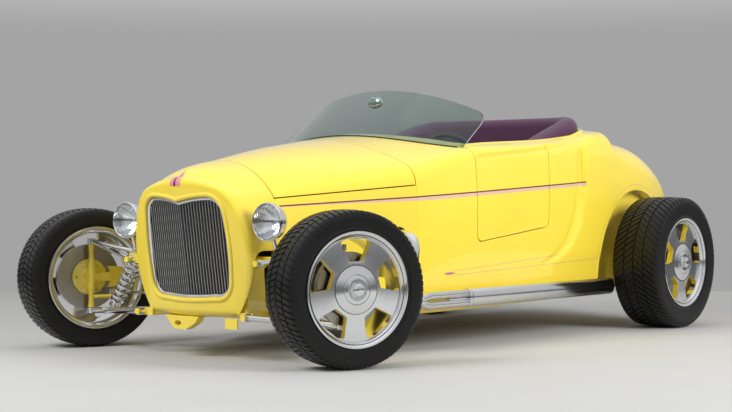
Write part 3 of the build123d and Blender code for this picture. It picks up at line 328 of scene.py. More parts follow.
def glass(name, colour, rough=0.0, extra=lambda tree: {}):
    tree = tree_for(name)
    return surface(tree, {
        "Base Color": tree.mix(tree.noise(3), colour, scaled(colour, 0.97)),
        "Roughness": rough + 0.01 * tree.noise(30),
        "Transmission Weight": 1.0,
        "IOR": 1.30,
        **extra(tree),
    })


def flutes(tree):
    """Upright ribs of a lamp's lens."""
    return {"Normal": tree.bump((tree.xyz(tree.place())[0] * 700).math("SINE"), 0.35, 0.0012)}


def turned_rings(tree):
    """Fine rings round the front hubs."""
    x, y, z = tree.xyz(tree.place())
    up = z - front_radius
    rings = ((up * up + (y - front_axle) * (y - front_axle)).math("SQRT") * 2400).math("SINE")
    return {"Roughness": 0.28 + 0.1 * rings, "Normal": tree.bump(rings, 0.1, 0.0003)}


body_paint = paint("body_paint", striped_colour)
cabin_paint = paint("cabin_paint", lined_colour)
plain_paint = paint("plain_paint")
chrome = metal("bright_chrome", (0.86, 0.87, 0.88), 0.04)
alloy = metal("polished_alloy", (0.80, 0.81, 0.82), 0.14)
grille_metal = metal("grille_metal", (0.62, 0.62, 0.62), 0.34)
steel = metal("floor_steel", (0.30, 0.30, 0.31), 0.45)
engine_metal = metal("engine_metal", (0.42, 0.42, 0.43), 0.35)
iron = metal("disc_iron", (0.50, 0.49, 0.48), 0.30, extra=turned_rings)
black = plastic("black_plastic", (0.018, 0.018, 0.019), 0.45)
hide = leather("purple_leather")
tyre_rubber = rubber("tyre_rubber")
screen_glass = glass("screen_glass", (0.56, 0.68, 0.64))
lamp_glass = glass("lamp_glass", (0.96, 0.98, 1.0))
fluted_glass = glass("fluted_glass", (0.96, 0.98, 1.0), 0.02, flutes)
red_glass = glass("red_glass", (0.75, 0.03, 0.03), 0.08)
mirror_face = metal("mirror_face", (0.88, 0.89, 0.90), 0.01, 0.01)

# Each wheel's centre, how far out its disc begins, and its turn
wheel_places = {}
for side, name in hands:
    reach = side * hub_offset
    wheel_places["front_" + name] = (side * kingpin_x + reach * cos(steer_angle),
                                     front_axle + reach * sin(steer_angle), front_radius, 0.030, steer_angle)
for side, name in hands:
    wheel_places["rear_" + name] = (side * rear_track, rear_axle, rear_radius, 0.055, 0.0)

# The nodes that are shown as they are
node_finishes = {
    "chassis_frame": plain_paint, "radiator": black, "floor_pan": steel, "engine": engine_metal,
    "dashboard": plain_paint, "steering_column": chrome, "steering_wheel": black, "steering_rack": chrome,
    "windscreen": screen_glass, "tail_lamps": red_glass, "suspension_arms": chrome, "rear_axle": plain_paint,
}
node_finishes.update(("disc_" + corner, iron) for corner in wheel_places)


def dress(piece, finish):
    piece.data.materials.clear()
    piece.data.materials.append(finish)


for name, finish in node_finishes.items():
    dress(nodes[name], finish)
wheel_finishes = {corner: wheel_finish("wheel_" + corner + "_finish", place)
                  for corner, place in wheel_places.items()}


# Meshes

def make(name, points, faces, finish, smooth=35):
    """A mesh object with outward faces, smooth but for edges sharper than the angle."""
    mesh = bpy.data.meshes.new(name)
    mesh.from_pydata(points, [], faces)
    piece = bpy.data.objects.new(name, mesh)
    scene.collection.objects.link(piece)
    tidy_mesh(piece)
    soften(piece, smooth)
    if finish:
        mesh.materials.append(finish)
    return piece


def tidy_mesh(piece):
    work = bmesh.new()
    work.from_mesh(piece.data)
    bmesh.ops.remove_doubles(work, verts=work.verts, dist=1e-6)
    bmesh.ops.recalc_face_normals(work, faces=work.faces)
    work.to_mesh(piece.data)
    work.free()


def soften(piece, smooth=35):
    piece.data.polygons.foreach_set("use_smooth", [True] * len(piece.data.polygons))
    piece.data.set_sharp_from_angle(angle=radians(smooth))


def settle(piece):
    """Applies a piece's modifiers."""
    bpy.context.view_layer.update()
    graph = bpy.context.evaluated_depsgraph_get()
    mesh = bpy.data.meshes.new_from_object(piece.evaluated_get(graph))
    piece.modifiers.clear()
    piece.data = mesh


def combine(piece, tool, operation="DIFFERENCE", keep=False):
    """Cuts one closed mesh with another."""
    change = piece.modifiers.new("cut", "BOOLEAN")
    change.operation, change.object, change.solver = operation, tool, "MANIFOLD"
    settle(piece)
    if not keep:
        bpy.data.objects.remove(tool)
    return piece


def band_faces(rings, n, closed=False):
    """Quads from each ring of n points to the next one, and from the last to the first if closed."""
    pairs = [(i, (i + 1) % rings) for i in range(rings if closed else rings - 1)]
    return [(i * n + k, i * n + (k + 1) % n, j * n + (k + 1) % n, j * n + k)
            for i, j in pairs for k in range(n)]


def cap_faces(rings, n):
    return [tuple(range(n)), tuple((rings - 1) * n + k for k in range(n))]


def oval_points(centre, half_wide, half_tall, count):
    return [(centre[0] + half_wide * cos(2 * pi * k / count), centre[1] + half_tall * sin(2 * pi * k / count))
            for k in range(count)]


def prism(points, axis, start, end):
    """A closed prism from a flat outline, run along an axis."""
    n, corners = len(points), []
    for height in (start, end):
        for point in points:
            corners.append(list(point))
            corners[-1].insert("xyz".index(axis), height)
    return make("prism", corners, [tuple(range(n))[::-1], tuple(range(n, 2 * n)), *band_faces(2, n)], None)


def cut_across(piece, outline):
    """Cuts an outline seen from the side out of all the piece's width."""
    combine(piece, prism(outline, "x", -far, far))


def round_corners(points, radii, steps=8):
    """The outline with each corner rounded by its own radius."""
    out = []
    for i, radius in enumerate(radii):
        here, before, after = Vector(points[i]), Vector(points[i - 1]), Vector(points[(i + 1) % len(points)])
        if not radius:
            out.append(tuple(here))
            continue
        a, b = (before - here).normalized(), (after - here).normalized()
        half = a.angle(b) / 2
        reach = radius / tan(half)
        start, end = here + a * reach, here + b * reach
        centre = here + (a + b).normalized() * radius / sin(half)
        for k in range(steps + 1):
            spoke = (start - centre).lerp(end - centre, k / steps).normalized() * radius
            out.append(tuple(centre + spoke))
    return out


def lathe(name, profile, steps, finish, where=None, smooth=35):
    """A solid of revolution about X from (x, radius) points."""
    turns = [(cos(2 * pi * k / steps), sin(2 * pi * k / steps)) for k in range(steps)]
    points = [(x, r * across, r * up) for across, up in turns for x, r in profile]
    piece = make(name, points, band_faces(steps, len(profile), True), finish, smooth)
    if where:
        piece.data.transform(where)
    return piece


def tube(name, path, radius, finish, sides=12, closed=False, wide=1.0, facing=(0, 0, 1)):
    """A round bead along a path of points; wide stretches it across the facing direction."""
    points, n = [], len(path)
    for i, here in enumerate(path):
        before = path[i - 1] if i or closed else here
        after = path[(i + 1) % n] if i < n - 1 or closed else here
        along = (Vector(after) - Vector(before)).normalized()
        side = along.cross(Vector(facing))
        side = (side if side.length > 0.05 else along.cross(Vector((1, 0, 0)))).normalized()
        up = side.cross(along).normalized()
        points += [tuple(Vector(here) + side * u + up * v)
                   for u, v in oval_points((0, 0), radius * wide, radius, sides)]
    faces = band_faces(n, sides, closed) + ([] if closed else cap_faces(n, sides))
    return make(name, points, faces, finish, 50)


# The body's surface

def row_at(rows, y):
    """The shares at any place, by a smooth curve through the rows."""
    y = min(max(y, rows[0][0]), rows[-1][0])
    spans = [b[0] - a[0] for a, b in zip(rows, rows[1:])]
    i = max(k for k in range(len(spans)) if rows[k][0] <= y)
    t = (y - rows[i][0]) / spans[i]
    shares = []
    for column in range(1, len(rows[0])):
        rates = [(b[column] - a[column]) / span for a, b, span in zip(rows, rows[1:], spans)]
        middles = [2 * p * q / (p + q) if p * q > 0 else 0 for p, q in zip(rates, rates[1:])]
        ends = [rates[0], *middles, rates[-1]]
        a, b = rows[i][column], rows[i + 1][column]
        pull = t * (1 - t) * ((1 - t) * ends[i] - t * ends[i + 1]) * spans[i]
        shares.append(a + t * t * (3 - 2 * t) * (b - a) + pull)
    return shares


class Section:
    """One cross-section: a side arc, a shoulder arc and a crown arc."""

    def __init__(self, shares, inset=0.0):
        low_z, low_x, mid_z, mid_x, belt_z, belt_x, shoulder, crown = shares[:8]
        self.low = (low_x * half_width - inset, low_z * body_tall)
        mid = (mid_x * half_width - inset, mid_z * body_tall)
        self.belt = (belt_x * half_width - inset, belt_z * body_tall)
        self.side = self.circle(self.low, mid, self.belt)
        self.side_radius = hypot(self.belt[0] - self.side[0], self.belt[1] - self.side[1])
        self.low_angle = atan2(self.low[1] - self.side[1], self.low[0] - self.side[0])
        self.belt_angle = atan2(self.belt[1] - self.side[1], self.belt[0] - self.side[0])
        self.radius = shoulder * body_tall - inset
        self.centre = self.spot(self.belt, -self.radius, self.belt_angle)
        self.top = crown * body_tall - inset
        rise = self.centre[1] - self.top
        self.crown_radius = (self.radius ** 2 - self.centre[0] ** 2 - rise ** 2) / (2 * (rise + self.radius))
        self.crown = (0.0, self.top - self.crown_radius)
        self.join_angle = atan2(self.centre[1] - self.crown[1], self.centre[0])

    @staticmethod
    def circle(a, b, c):
        d = 2 * (a[0] * (b[1] - c[1]) + b[0] * (c[1] - a[1]) + c[0] * (a[1] - b[1]))
        sa, sb, sc = (p[0] ** 2 + p[1] ** 2 for p in (a, b, c))
        return ((sa * (b[1] - c[1]) + sb * (c[1] - a[1]) + sc * (a[1] - b[1])) / d,
                (sa * (c[0] - b[0]) + sb * (a[0] - c[0]) + sc * (b[0] - a[0])) / d)

    @staticmethod
    def spot(centre, radius, angle):
        return centre[0] + radius * cos(angle), centre[1] + radius * sin(angle)

    def points(self, counts):
        """Points and outward directions from the low corner to the middle of the crown."""
        arcs = [(self.side, self.side_radius, self.low_angle, self.belt_angle, counts[0]),
                (self.centre, self.radius, self.belt_angle, self.join_angle, counts[1]),
                (self.crown, self.crown_radius, self.join_angle, pi / 2, counts[2])]
        out = []
        for centre, radius, start, end, count in arcs:
            for k in range(count):
                angle = start + (end - start) * k / count
                out.append((self.spot(centre, radius, angle), (cos(angle), sin(angle))))
        return out + [((0.0, self.top), (0.0, 1.0))]

    def side_x(self, z):
        """Half width of the side at a height."""
        if z < self.belt[1]:
            return self.side[0] + sqrt(self.side_radius ** 2 - (z - self.side[1]) ** 2)
        return self.centre[0] + sqrt(max(self.radius ** 2 - (z - self.centre[1]) ** 2, 0))

    def top_z(self, x):
        """Height of the top at a distance from the middle."""
        if abs(x) < self.centre[0] + self.radius * cos(self.join_angle):
            return self.crown[1] + sqrt(self.crown_radius ** 2 - x * x)
        return self.centre[1] + sqrt(max(self.radius ** 2 - (abs(x) - self.centre[0]) ** 2, 0))


def box_mesh(low, high):
    """Points and faces of a block."""
    points = [(x, y, z) for x in (low[0], high[0]) for y in (low[1], high[1]) for z in (low[2], high[2])]
    return points, [(0, 1, 3, 2), (4, 6, 7, 5), (0, 4, 5, 1), (2, 3, 7, 6), (0, 2, 6, 4), (1, 5, 7, 3)]


def ease(value, start, end):
    t = min(max((value - start) / (end - start), 0), 1)
    return t * t * (3 - 2 * t)


def along_points(points, value):
    """Straight runs between (place, height) points."""
    if value <= points[0][0]:
        return points[0][1]
    for (a, p), (b, q) in zip(points, points[1:]):
        if value <= b:
            return p + (q - p) * (value - a) / (b - a)
    return points[-1][1]


door_front, door_rear = -0.378, 0.242
# Height of the crease under the cockpit's rolled rim, along the car
crease_line = [(-0.40, 0.868), (-0.19, 0.885), (0.07, 0.908), (0.35, 0.937), (0.61, 0.986), (0.66, 1.0)]
# Front edge of the rear fender's swell, by height
swell_line = [(0.34, 0.20), (0.385, 0.335), (0.410, 0.400), (0.455, 0.466), (0.541, 0.524), (0.637, 0.560),
              (0.745, 0.580), (0.95, 0.592)]


def relief(y, z, direction):
    """How far the body's side stands out from its plain sections."""
    if z < 0.22 or direction[0] < 0.2:
        return 0.0
    over = z - along_points(crease_line, y)
    within = ease(y, -0.42, -0.34) * (1 - ease(y, 0.56, 0.64))
    within = within * ease(abs(y - door_front - seam / 2), 0.004, 0.036)  # flat at the door's hinge seam
    roll = 0.009 * ease(over, 0, 0.014) * (1 - ease(over, 0.03, 0.08))
    crease = 0.006 * max(0, 1 - abs(over) / 0.010)
    behind = y - along_points(swell_line, z)
    height = ease(z, 0.30, 0.42) * (1 - ease(z, 0.90, 0.98))
    hollow = -0.012 * ease(behind, -0.085, -0.014) * (1 - ease(behind, -0.012, 0.002))
    step = 0.008 * ease(behind, -0.006, 0.006) * (1 - ease(y, 1.0, 1.5))
    return within * (roll - crease) + height * (hollow + step)


def plain_side(y, z, direction):
    return 0.0


def thin_wall(y):
    return panel_wall


def tub_wall(y):
    return 0.05 if y <= tub_end else panel_wall


def shell(name, rows, places, counts, finish, wall=thin_wall, shape=plain_side):
    """A hollow body panel over all its width, from section to section."""
    points = []
    for y in places:
        shares = row_at(rows, y)
        ring = []
        for (x, z), (dx, dz) in Section(shares).points(counts):
            out = shape(y, z, (dx, dz))
            ring.append((x + out * dx, z + out * dz))
        inner = [point for point, direction in Section(shares, wall(y)).points(counts)]
        outside = [(-x, z) for x, z in ring[:-1]] + ring[::-1]
        within = inner[:-1] + [(-x, z) for x, z in inner[::-1]]
        points += [(x, y, z) for x, z in outside + within]
    n = len(outside)
    whole = 2 * n
    faces = band_faces(len(places), whole)
    for base in (0, (len(places) - 1) * whole):
        faces += [(base + j, base + j + 1, base + whole - 2 - j, base + whole - 1 - j) for j in range(n - 1)]
    return make(name, points, faces, finish)


def steps(start, end, size):
    count = max(1, round((end - start) / size))
    return [start + (end - start) * k / count for k in range(count + 1)]


def add(piece, body, replaced=()):
    """Puts a piece on its body and the nodes that it stands for."""
    if replaced:
        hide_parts(*replaced)
    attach(piece, body)
    return piece


def finish_panel(piece, replaced, body, rim=0.0018):
    """Rounds the cut edges a little and puts the panel on its body."""
    tidy_mesh(piece)
    edge = piece.modifiers.new("edge", "BEVEL")
    edge.width, edge.segments, edge.limit_method, edge.angle_limit = rim, 2, "ANGLE", radians(50)
    edge.use_clamp_overlap = True
    settle(piece)
    soften(piece, 40)
    add(piece, body, replaced)


def cockpit_outline(grow=0.0):
    """Arc at the dash, then a squarish bow round the seat back."""
    half = 0.545 + grow
    rise = 0.190 + grow
    radius = (half * half + rise * rise) / (2 * rise)
    dash = [half * (k / 20 - 1) for k in range(41)]
    out = [(x, -0.508 - grow + radius - sqrt(radius * radius - x * x)) for x in dash]
    for k in range(61):
        across, along = cos(pi * k / 60), max(0.0, sin(pi * k / 60))
        x = half * (1 if across > 0 else -1) * abs(across) ** 0.42
        out.append((x, 0.440 + (0.420 + grow) * along ** 0.46))
    return out


def door_outline(inset=0.0):
    y0, y1 = door_front + inset, door_rear - inset
    points = [(y0, far), (y0, 0.475 + inset), (y1, 0.540 + inset), (y1, far)]
    return round_corners(points, (0, 0.036, 0.036, 0))


def lid_outline(inset=0.0):
    half, start, end = 0.380 - inset, 0.952 + inset, 1.482 - inset
    return round_corners([(-half, start), (half, start), (half, end), (-half, end)], (0.07 - inset,) * 4)


def hood_line(y):
    """Height of the seam between the hood and its sides."""
    return 0.678 + (y - hood_front) / (cowl - hood_front) * 0.059


def twin(piece):
    """The same shape once more, with a mesh of its own."""
    made = piece.copy()
    made.data = piece.data.copy()
    scene.collection.objects.link(made)
    return made


def disc_prism(radius, start, end):
    """A round bar on the rear axle's line."""
    return prism(oval_points((rear_axle, rear_radius), radius, radius, 96), "x", start, end)


door_inside, lid_low, arch_inside = 0.2725, 0.555, 0.56
body_steps = steps(cowl, tub_end, 0.012) + steps(tub_end + 0.0002, tail, 0.014)
main_shell = shell("body_shell", body_rows, body_steps, (56, 20, 14), cabin_paint, tub_wall, relief)
door_stock = twin(main_shell)
lid_stock = shell("lid_stock", body_rows, steps(0.93, 1.50, 0.014), (8, 20, 24), plain_paint)

cockpit = prism(cockpit_outline(), "z", lid_low, far)
for work in (main_shell, door_stock):
    combine(work, cockpit, keep=True)
bpy.data.objects.remove(cockpit)
for side, name in hands:
    combine(main_shell, prism(door_outline(), "x", side * door_inside, side * far))
combine(main_shell, prism(lid_outline(), "z", lid_low, far))
combine(lid_stock, prism(lid_outline(seam), "z", lid_low, far), "INTERSECT")

houses = []
for side, name in hands:
    combine(main_shell, disc_prism(arch_radius, side * arch_inside, side * far))
    house = disc_prism(arch_radius + panel_wall, side * (arch_inside - panel_wall), side * 0.70)
    combine(house, disc_prism(arch_radius, side * arch_inside, side * far))
    combine(house, disc_prism(0.070, side * 0.40, side * far))
    solid = shell("solid", body_rows, steps(0.60, tail, 0.03), (20, 8, 8), None, lambda y: 0.09)
    combine(house, solid, "INTERSECT")
    dress(house, plain_paint)
    house.name = "wheelhouse_" + name
    houses.append(house)
finish_panel(main_shell, ("body_tub", "rear_deck"), "chassis")
for house in houses:
    soften(house)
    add(house, "chassis")
finish_panel(lid_stock, ("deck_lid",), "deck_lid")
lid_stock.name = "deck_lid_panel"

for side, name in hands:
    door = twin(door_stock)
    combine(door, prism(door_outline(seam), "x", side * door_inside, side * far), "INTERSECT")
    door.name = "door_panel_" + name
    finish_panel(door, ("door_" + name,), "door_" + name, 0.0025)
bpy.data.objects.remove(door_stock)

# Hood, its sides and the nose wings

hood_steps = steps(hood_front + seam, cowl - seam, 0.012)
hood = shell("hood_panel", front_rows, hood_steps, (40, 20, 30), plain_paint)
y0, y1 = hood_front - 0.05, cowl + 0.05
cut_across(hood, [(y0, hood_line(y0) + seam), (y1, hood_line(y1) + seam), (y1, -1), (y0, -1)])
finish_panel(hood, ("hood_top",), "hood")

above = [(y0, hood_line(y0)), (y1, hood_line(y1)), (y1, far), (y0, far)]
panel_gap = 0.0008
flanks = shell("hood_flanks", front_rows, steps(side_seam, cowl - panel_gap, 0.014), (48, 10, 8), body_paint)
cut_across(flanks, above)
cut_across(flanks, oval_points((-0.878, 0.520), 0.036, 0.036, 40))
finish_panel(flanks, ("hood_sides",), "chassis")


def nose_solid(inset, places):
    """The nose as a solid: its sections lean and form a vee, and its edge is rounded."""
    points = []
    for y in places:
        shares = row_at(nose_rows, y)
        lean = shares[8]
        forward = max(0.0, (nose_round - y) / (nose_round - nose_front))
        drawn = nose_edge * (1 - sqrt(max(0.0, 1 - forward * forward)))
        half = [point for point, direction in Section(shares, inset + drawn).points((36, 16, 24))]
        half[0] = (half[0][0], half[0][1] + drawn + min(inset, panel_wall))
        half = [(0.0, half[0][1])] + half
        ring = half + [(-x, z) for x, z in half[1:-1]][::-1]
        points += [(x, y + lean * (nose_vee * abs(x) + nose_lean * (nose_middle - z)), z) for x, z in ring]
    n = len(ring)
    faces = band_faces(len(places), n)
    top = n // 2
    for base in (0, (len(places) - 1) * n):
        faces.append(tuple(base + j for j in range(top + 1)))
        faces.append(tuple(base + j % n for j in range(top, n + 1)))
    return make("nose_panel", points, faces, body_paint)


grille_half, grille_low, grille_high, dip = 0.243, 0.258, 0.686, 0.020
# The right half of the grille's outline, from the middle of its sill. Columns: share of the
# half width, share of the height, share of the dip above that, how far out and up it grows.
grille_rows = [
    (0.00, 0.00, -0.10, 0, -1), (0.60, 0.00, 0.25, 0, -1), (0.845, 0.00, 1.05, 0.7, -0.7),
    (0.945, 0.00, 3.20, 1, 0), (0.985, 0.50, 0.00, 1, 0), (0.935, 1.00, -2.90, 1, 0),
    (0.84, 1.00, -0.85, 0.7, 0.7), (0.62, 1.00, 0.05, 0, 1), (0.30, 1.00, -0.25, 0, 1),
    (0.00, 1.00, -1.00, 0, 1),
]


def arc(a, b, c, count):
    """Points along the arc from a through b to c, without its end."""
    centre = Section.circle(a, b, c)
    radius = hypot(a[0] - centre[0], a[1] - centre[1])
    start, middle, end = (atan2(p[1] - centre[1], p[0] - centre[0]) for p in (a, b, c))
    if (middle - start) % (2 * pi) < (end - start) % (2 * pi):
        turn = (end - start) % (2 * pi)
    else:
        turn = -((start - end) % (2 * pi))
    return [Section.spot(centre, radius, start + turn * k / count) for k in range(count)]


def grille_outline(grow=0.0):
    p = []
    for width, height, drop, out, up in grille_rows:
        z = grille_low + height * (grille_high - grille_low) + drop * dip
        p.append((width * grille_half + out * grow, z + up * grow))
    half = []
    for first, count in ((1, 8), (3, 30), (5, 8), (7, 14)):
        half += arc(*p[first:first + 3], count)
    left = [(-x, z) for x, z in half[::-1]]
    under = arc((-p[1][0], p[1][1]), p[0], p[1], 20)[1:]
    return half + [p[9]] + left + under


nose_back = hood_front + 0.1
edge_steps = [-1.694, -1.6935, -1.6925, -1.690, -1.686, -1.680, -1.673, -1.666, -1.658]
nose = nose_solid(0.0, edge_steps + steps(-1.650, hood_front, 0.012))
hollow = nose_solid(panel_wall, steps(-1.588, hood_front + 0.0005, 0.02))
hollow.data.transform(Matrix.Translation((0, 0.0005, 0)))
combine(nose, hollow)
combine(nose, prism(grille_outline(0.004), "y", -1.80, nose_back))
floor_half, floor_top = 0.2923, 0.2223
floor_cut = [(-floor_half, 0), (floor_half, 0), (floor_half, floor_top), (-floor_half, floor_top)]
combine(nose, prism(floor_cut, "y", -1.5583, nose_back))
wings = shell("wings", front_rows, steps(hood_front, side_seam - panel_gap, 0.012), (48, 10, 8), body_paint)
cut_across(wings, above)
wing_low, wing_rear = 0.462, side_seam + 0.1
cut_across(wings, [(-1.75, -0.5), (-1.7, wing_low), (wing_rear, wing_low), (wing_rear, -0.5)])
cut_across(nose, round_corners([(-1.574, -0.1), (-1.574, wing_low), (wing_rear, wing_low), (wing_rear, -0.1)],
                               (0, 0.05, 0, 0)))
combine(nose, wings, "UNION")
finish_panel(nose, ("nose_shell",), "chassis")


def merge(name, pieces):
    """Several pieces as one."""
    bpy.ops.object.select_all(action="DESELECT")
    for piece in pieces:
        piece.select_set(True)
    bpy.context.view_layer.objects.active = pieces[0]
    bpy.ops.object.join()
    pieces[0].name = name
    return pieces[0]


# Grille: a rolled lip, a bright frame and upright bars that lean with the nose

def on_nose(x, z, back):
    """A point this far behind the leaning face of the nose."""
    return (x, nose_front + back + nose_vee * abs(x) + nose_lean * (nose_middle - z), z)


def grille_ring(grow, back):
    return [on_nose(x, z, back) for x, z in grille_outline(grow)]


lengthways = (0, 1, 0)
lip = tube("grille_lip", grille_ring(0.009, 0.004), 0.011, body_paint, 14, True, facing=lengthways)
add(lip, "chassis")
frame_bar = tube("grille_frame", grille_ring(-0.007, 0.016), 0.0085, chrome, 14, True, facing=lengthways)


def span_at(outline, x):
    """Lowest and highest point of a closed outline at a place across."""
    found = []
    for (xa, za), (xb, zb) in zip(outline, outline[1:] + outline[:1]):
        if (xa - x) * (xb - x) <= 0 and xa != xb:
            found.append(za + (zb - za) * (x - xa) / (xb - xa))
    return min(found), max(found)


bar_section = [(-0.0010, 0.006), (-0.0021, 0.003), (-0.0013, 0.0006), (0.0, 0.0), (0.0013, 0.0006),
               (0.0021, 0.003), (0.0010, 0.006)]
bar_slim, bar_pitch, bar_back = 0.9, 0.0147, 0.017
bars, window, bar_sides = [], grille_outline(-0.010), len(bar_section)
for i in range(-15, 16):
    x = i * bar_pitch
    points = []
    for z in span_at(window, x):
        for dx, dy in bar_section:
            px, py, pz = on_nose(x, z, bar_back + dy)
            points.append((px + bar_slim * dx, py, pz))
    bars.append(make("bar", points, band_faces(2, bar_sides) + cap_faces(2, bar_sides), grille_metal, 60))
grille = merge("grille_dressed", [frame_bar] + bars)
add(grille, "chassis", ("grille",))
backing = make("grille_backing", grille_ring(0.002, 0.034), [tuple(range(len(grille_outline())))], black)
add(backing, "chassis")

# Towing eye under the chin, with a plate beside it

eye_outline = [(-0.150, 0.178), (-0.100, 0.122), (-0.030, 0.118), (0.030, 0.150), (0.050, 0.178)]
towing_eye = prism(round_corners(eye_outline, (0, 0.018, 0.018, 0.012, 0), 6), "y", -1.600, -1.560)
combine(towing_eye, prism(oval_points((-0.075, 0.146), 0.020, 0.011, 24), "y", -1.7, -1.5))
towing_eye.name = "towing_eye"
dress(towing_eye, plain_paint)
soften(towing_eye, 40)
add(towing_eye, "chassis")
chin_plate = make("chin_plate", *box_mesh((0.205, -1.600, 0.134), (0.275, -1.592, 0.178)), plain_paint)
add(chin_plate, "chassis")

# Headlamps: bowl, rim, reflector, bulb, lens and post

across_to_back = Matrix.Rotation(pi / 2, 4, "Z")


def curve_profile(points, count=6):
    """More points along a rough profile, by a smooth curve through it."""
    out = []
    for i in range(len(points) - 1):
        near = [points[min(max(i + k, 0), len(points) - 1)] for k in (-1, 0, 1, 2)]
        for t in (k / count for k in range(count)):
            out.append(tuple(0.5 * (2 * b + (c - a) * t + (2 * a - 5 * b + 4 * c - d) * t * t
                                    + (3 * b - a - 3 * c + d) * t ** 3) for a, b, c, d in zip(*near)))
    return out + [points[-1]]


lamp_x, lamp_y, lamp_z = 0.424, -1.581, 0.583
lamp_outside = [(0.0, 0.0745), (-0.004, 0.0775), (0.0, 0.0805), (0.010, 0.0808), (0.018, 0.0790),
                (0.045, 0.0715), (0.075, 0.0500), (0.093, 0.0240), (0.0995, core)]
lamp_inside = [(0.074, core), (0.068, 0.0160), (0.050, 0.0400), (0.028, 0.0600), (0.010, 0.0720)]
bulb_profile = [(0.070, core), (0.068, 0.008), (0.050, 0.009), (0.040, 0.007), (0.036, core)]
ball_profile = [(-0.016, core), (-0.011, 0.011), (0.0, 0.016), (0.011, 0.011), (0.016, core)]
lens_front = [(-0.0110, core), (-0.0085, 0.035), (-0.0030, 0.060), (0.004, 0.0735)]
lens_back = [(0.006, 0.0735), (-0.0005, 0.060), (-0.0055, 0.035), (-0.0080, core)]
post_path = [(-1.520, 0.4373), (-1.524, 0.47), (-1.535, 0.500), (-1.540, 0.512)]
lamp_body = curve_profile(lamp_outside) + curve_profile(lamp_inside)
lamp_lens = curve_profile(lens_front) + curve_profile(lens_back)
for side, name in hands:
    x = side * lamp_x
    where = Matrix.Translation((x, lamp_y, lamp_z)) @ across_to_back
    bowl = lathe("headlamp_bowl_" + name, lamp_body, 64, chrome, where, 60)
    bulb = lathe("bulb", curve_profile(bulb_profile), 24, lamp_glass, where, 60)
    post = tube("post", [(x, y, z) for y, z in post_path], 0.009, chrome, 16, facing=lengthways)
    ball = lathe("ball", curve_profile(ball_profile), 24, chrome, Matrix.Translation((x, -1.520, 0.452)), 60)
    add(merge("headlamp_" + name, [bowl, bulb, post, ball]), "chassis", ("headlamps",))
    lens = lathe("headlamp_lens_" + name, lamp_lens, 64, fluted_glass, where, 60)
    add(lens, "chassis", ("headlamp_lenses",))

# Mirror: an oval shell on a short stem

mirror_profile = [(-0.013, core), (-0.012, 0.020), (-0.007, 0.036), (0.0, 0.044), (0.005, 0.0455),
                  (0.008, 0.044), (0.0072, 0.040), (0.0070, core)]
mirror_place = Matrix.Translation((0, -0.3306, 1.148)) @ Matrix.Diagonal((1, 1, 0.63, 1)) @ across_to_back
oval = lathe("mirror_shell", curve_profile(mirror_profile), 48, mirror_face, mirror_place, 60)
stem = tube("stem", [(0, -0.334, 1.156), (0, -0.339, 1.166), (0, -0.3455, 1.172)], 0.006, chrome, 12,
            facing=(1, 0, 0))
add(merge("mirror_dressed", [oval, stem]), "chassis", ("mirror",))

# Coil springs over their dampers

def aim(start, end):
    """A matrix that puts the X axis along the line from start to end."""
    along = (Vector(end) - Vector(start)).normalized()
    return Matrix.Translation(start) @ along.to_track_quat("X", "Z").to_matrix().to_4x4()


# Foot and top of each spring, as far out from the middle, along and up
coilover_ends = (
    ("front", (0.600, front_axle, 0.1855), (0.432, front_axle, 0.4245)),
    ("rear", (0.470, rear_axle, 0.3832), (0.430, rear_axle, 0.6794)),
)


def both_ways(half):
    """A profile that is the same at either end, from its outer half."""
    return [(-x, r) for x, r in half[::-1]] + half


pad_profile = both_ways([(0.012, 0.014), (0.016, 0.011), (0.016, core)])
damper_foot = [(0.004, core), (0.004, 0.012), (0.016, 0.012), (0.018, 0.019), (0.038, 0.019), (0.040, 0.033),
               (0.046, 0.033), (0.048, 0.0185)]
damper_head = [(0.038, 0.0075), (0.036, 0.031), (0.030, 0.031), (0.028, 0.012), (0.004, 0.011), (0.004, core)]
coil_turns, coil_steps, coil_radius, coil_start, coil_spare = 7, 18, 0.0305, 0.048, 0.088
for side, name in hands:
    for end, foot, top in coilover_ends:
        low, high = Vector((side * foot[0], *foot[1:])), Vector((side * top[0], *top[1:]))
        length, where = (high - low).length, aim(low, high)
        coil = []
        for k in range(coil_turns * coil_steps + 1):
            angle = 2 * pi * k / coil_steps
            along = coil_start + (length - coil_spare) * k / (coil_turns * coil_steps)
            coil.append(where @ Vector((along, coil_radius * cos(angle), coil_radius * sin(angle))))
        spring = tube("spring", coil, 0.0064, chrome, 10, facing=(high - low).normalized())
        damper_profile = damper_foot + [(0.55 * length, 0.0185), (0.56 * length, 0.0075)]
        damper_profile += [(length - x, r) for x, r in damper_head]
        damper = lathe("damper", damper_profile, 32, chrome, where)
        pads = [lathe("pad", pad_profile, 24, chrome, Matrix.Translation(place) @ across_to_back)
                for place in (low + Vector((0, 0, 0.015)), high - Vector((0, 0, 0.015)))]
        add(merge("coilover_" + end + "_" + name, [spring, damper, *pads]), "chassis",
            ("coilovers",))

# Front uprights: forged post, hub plate with bolts, steering arm and caliper

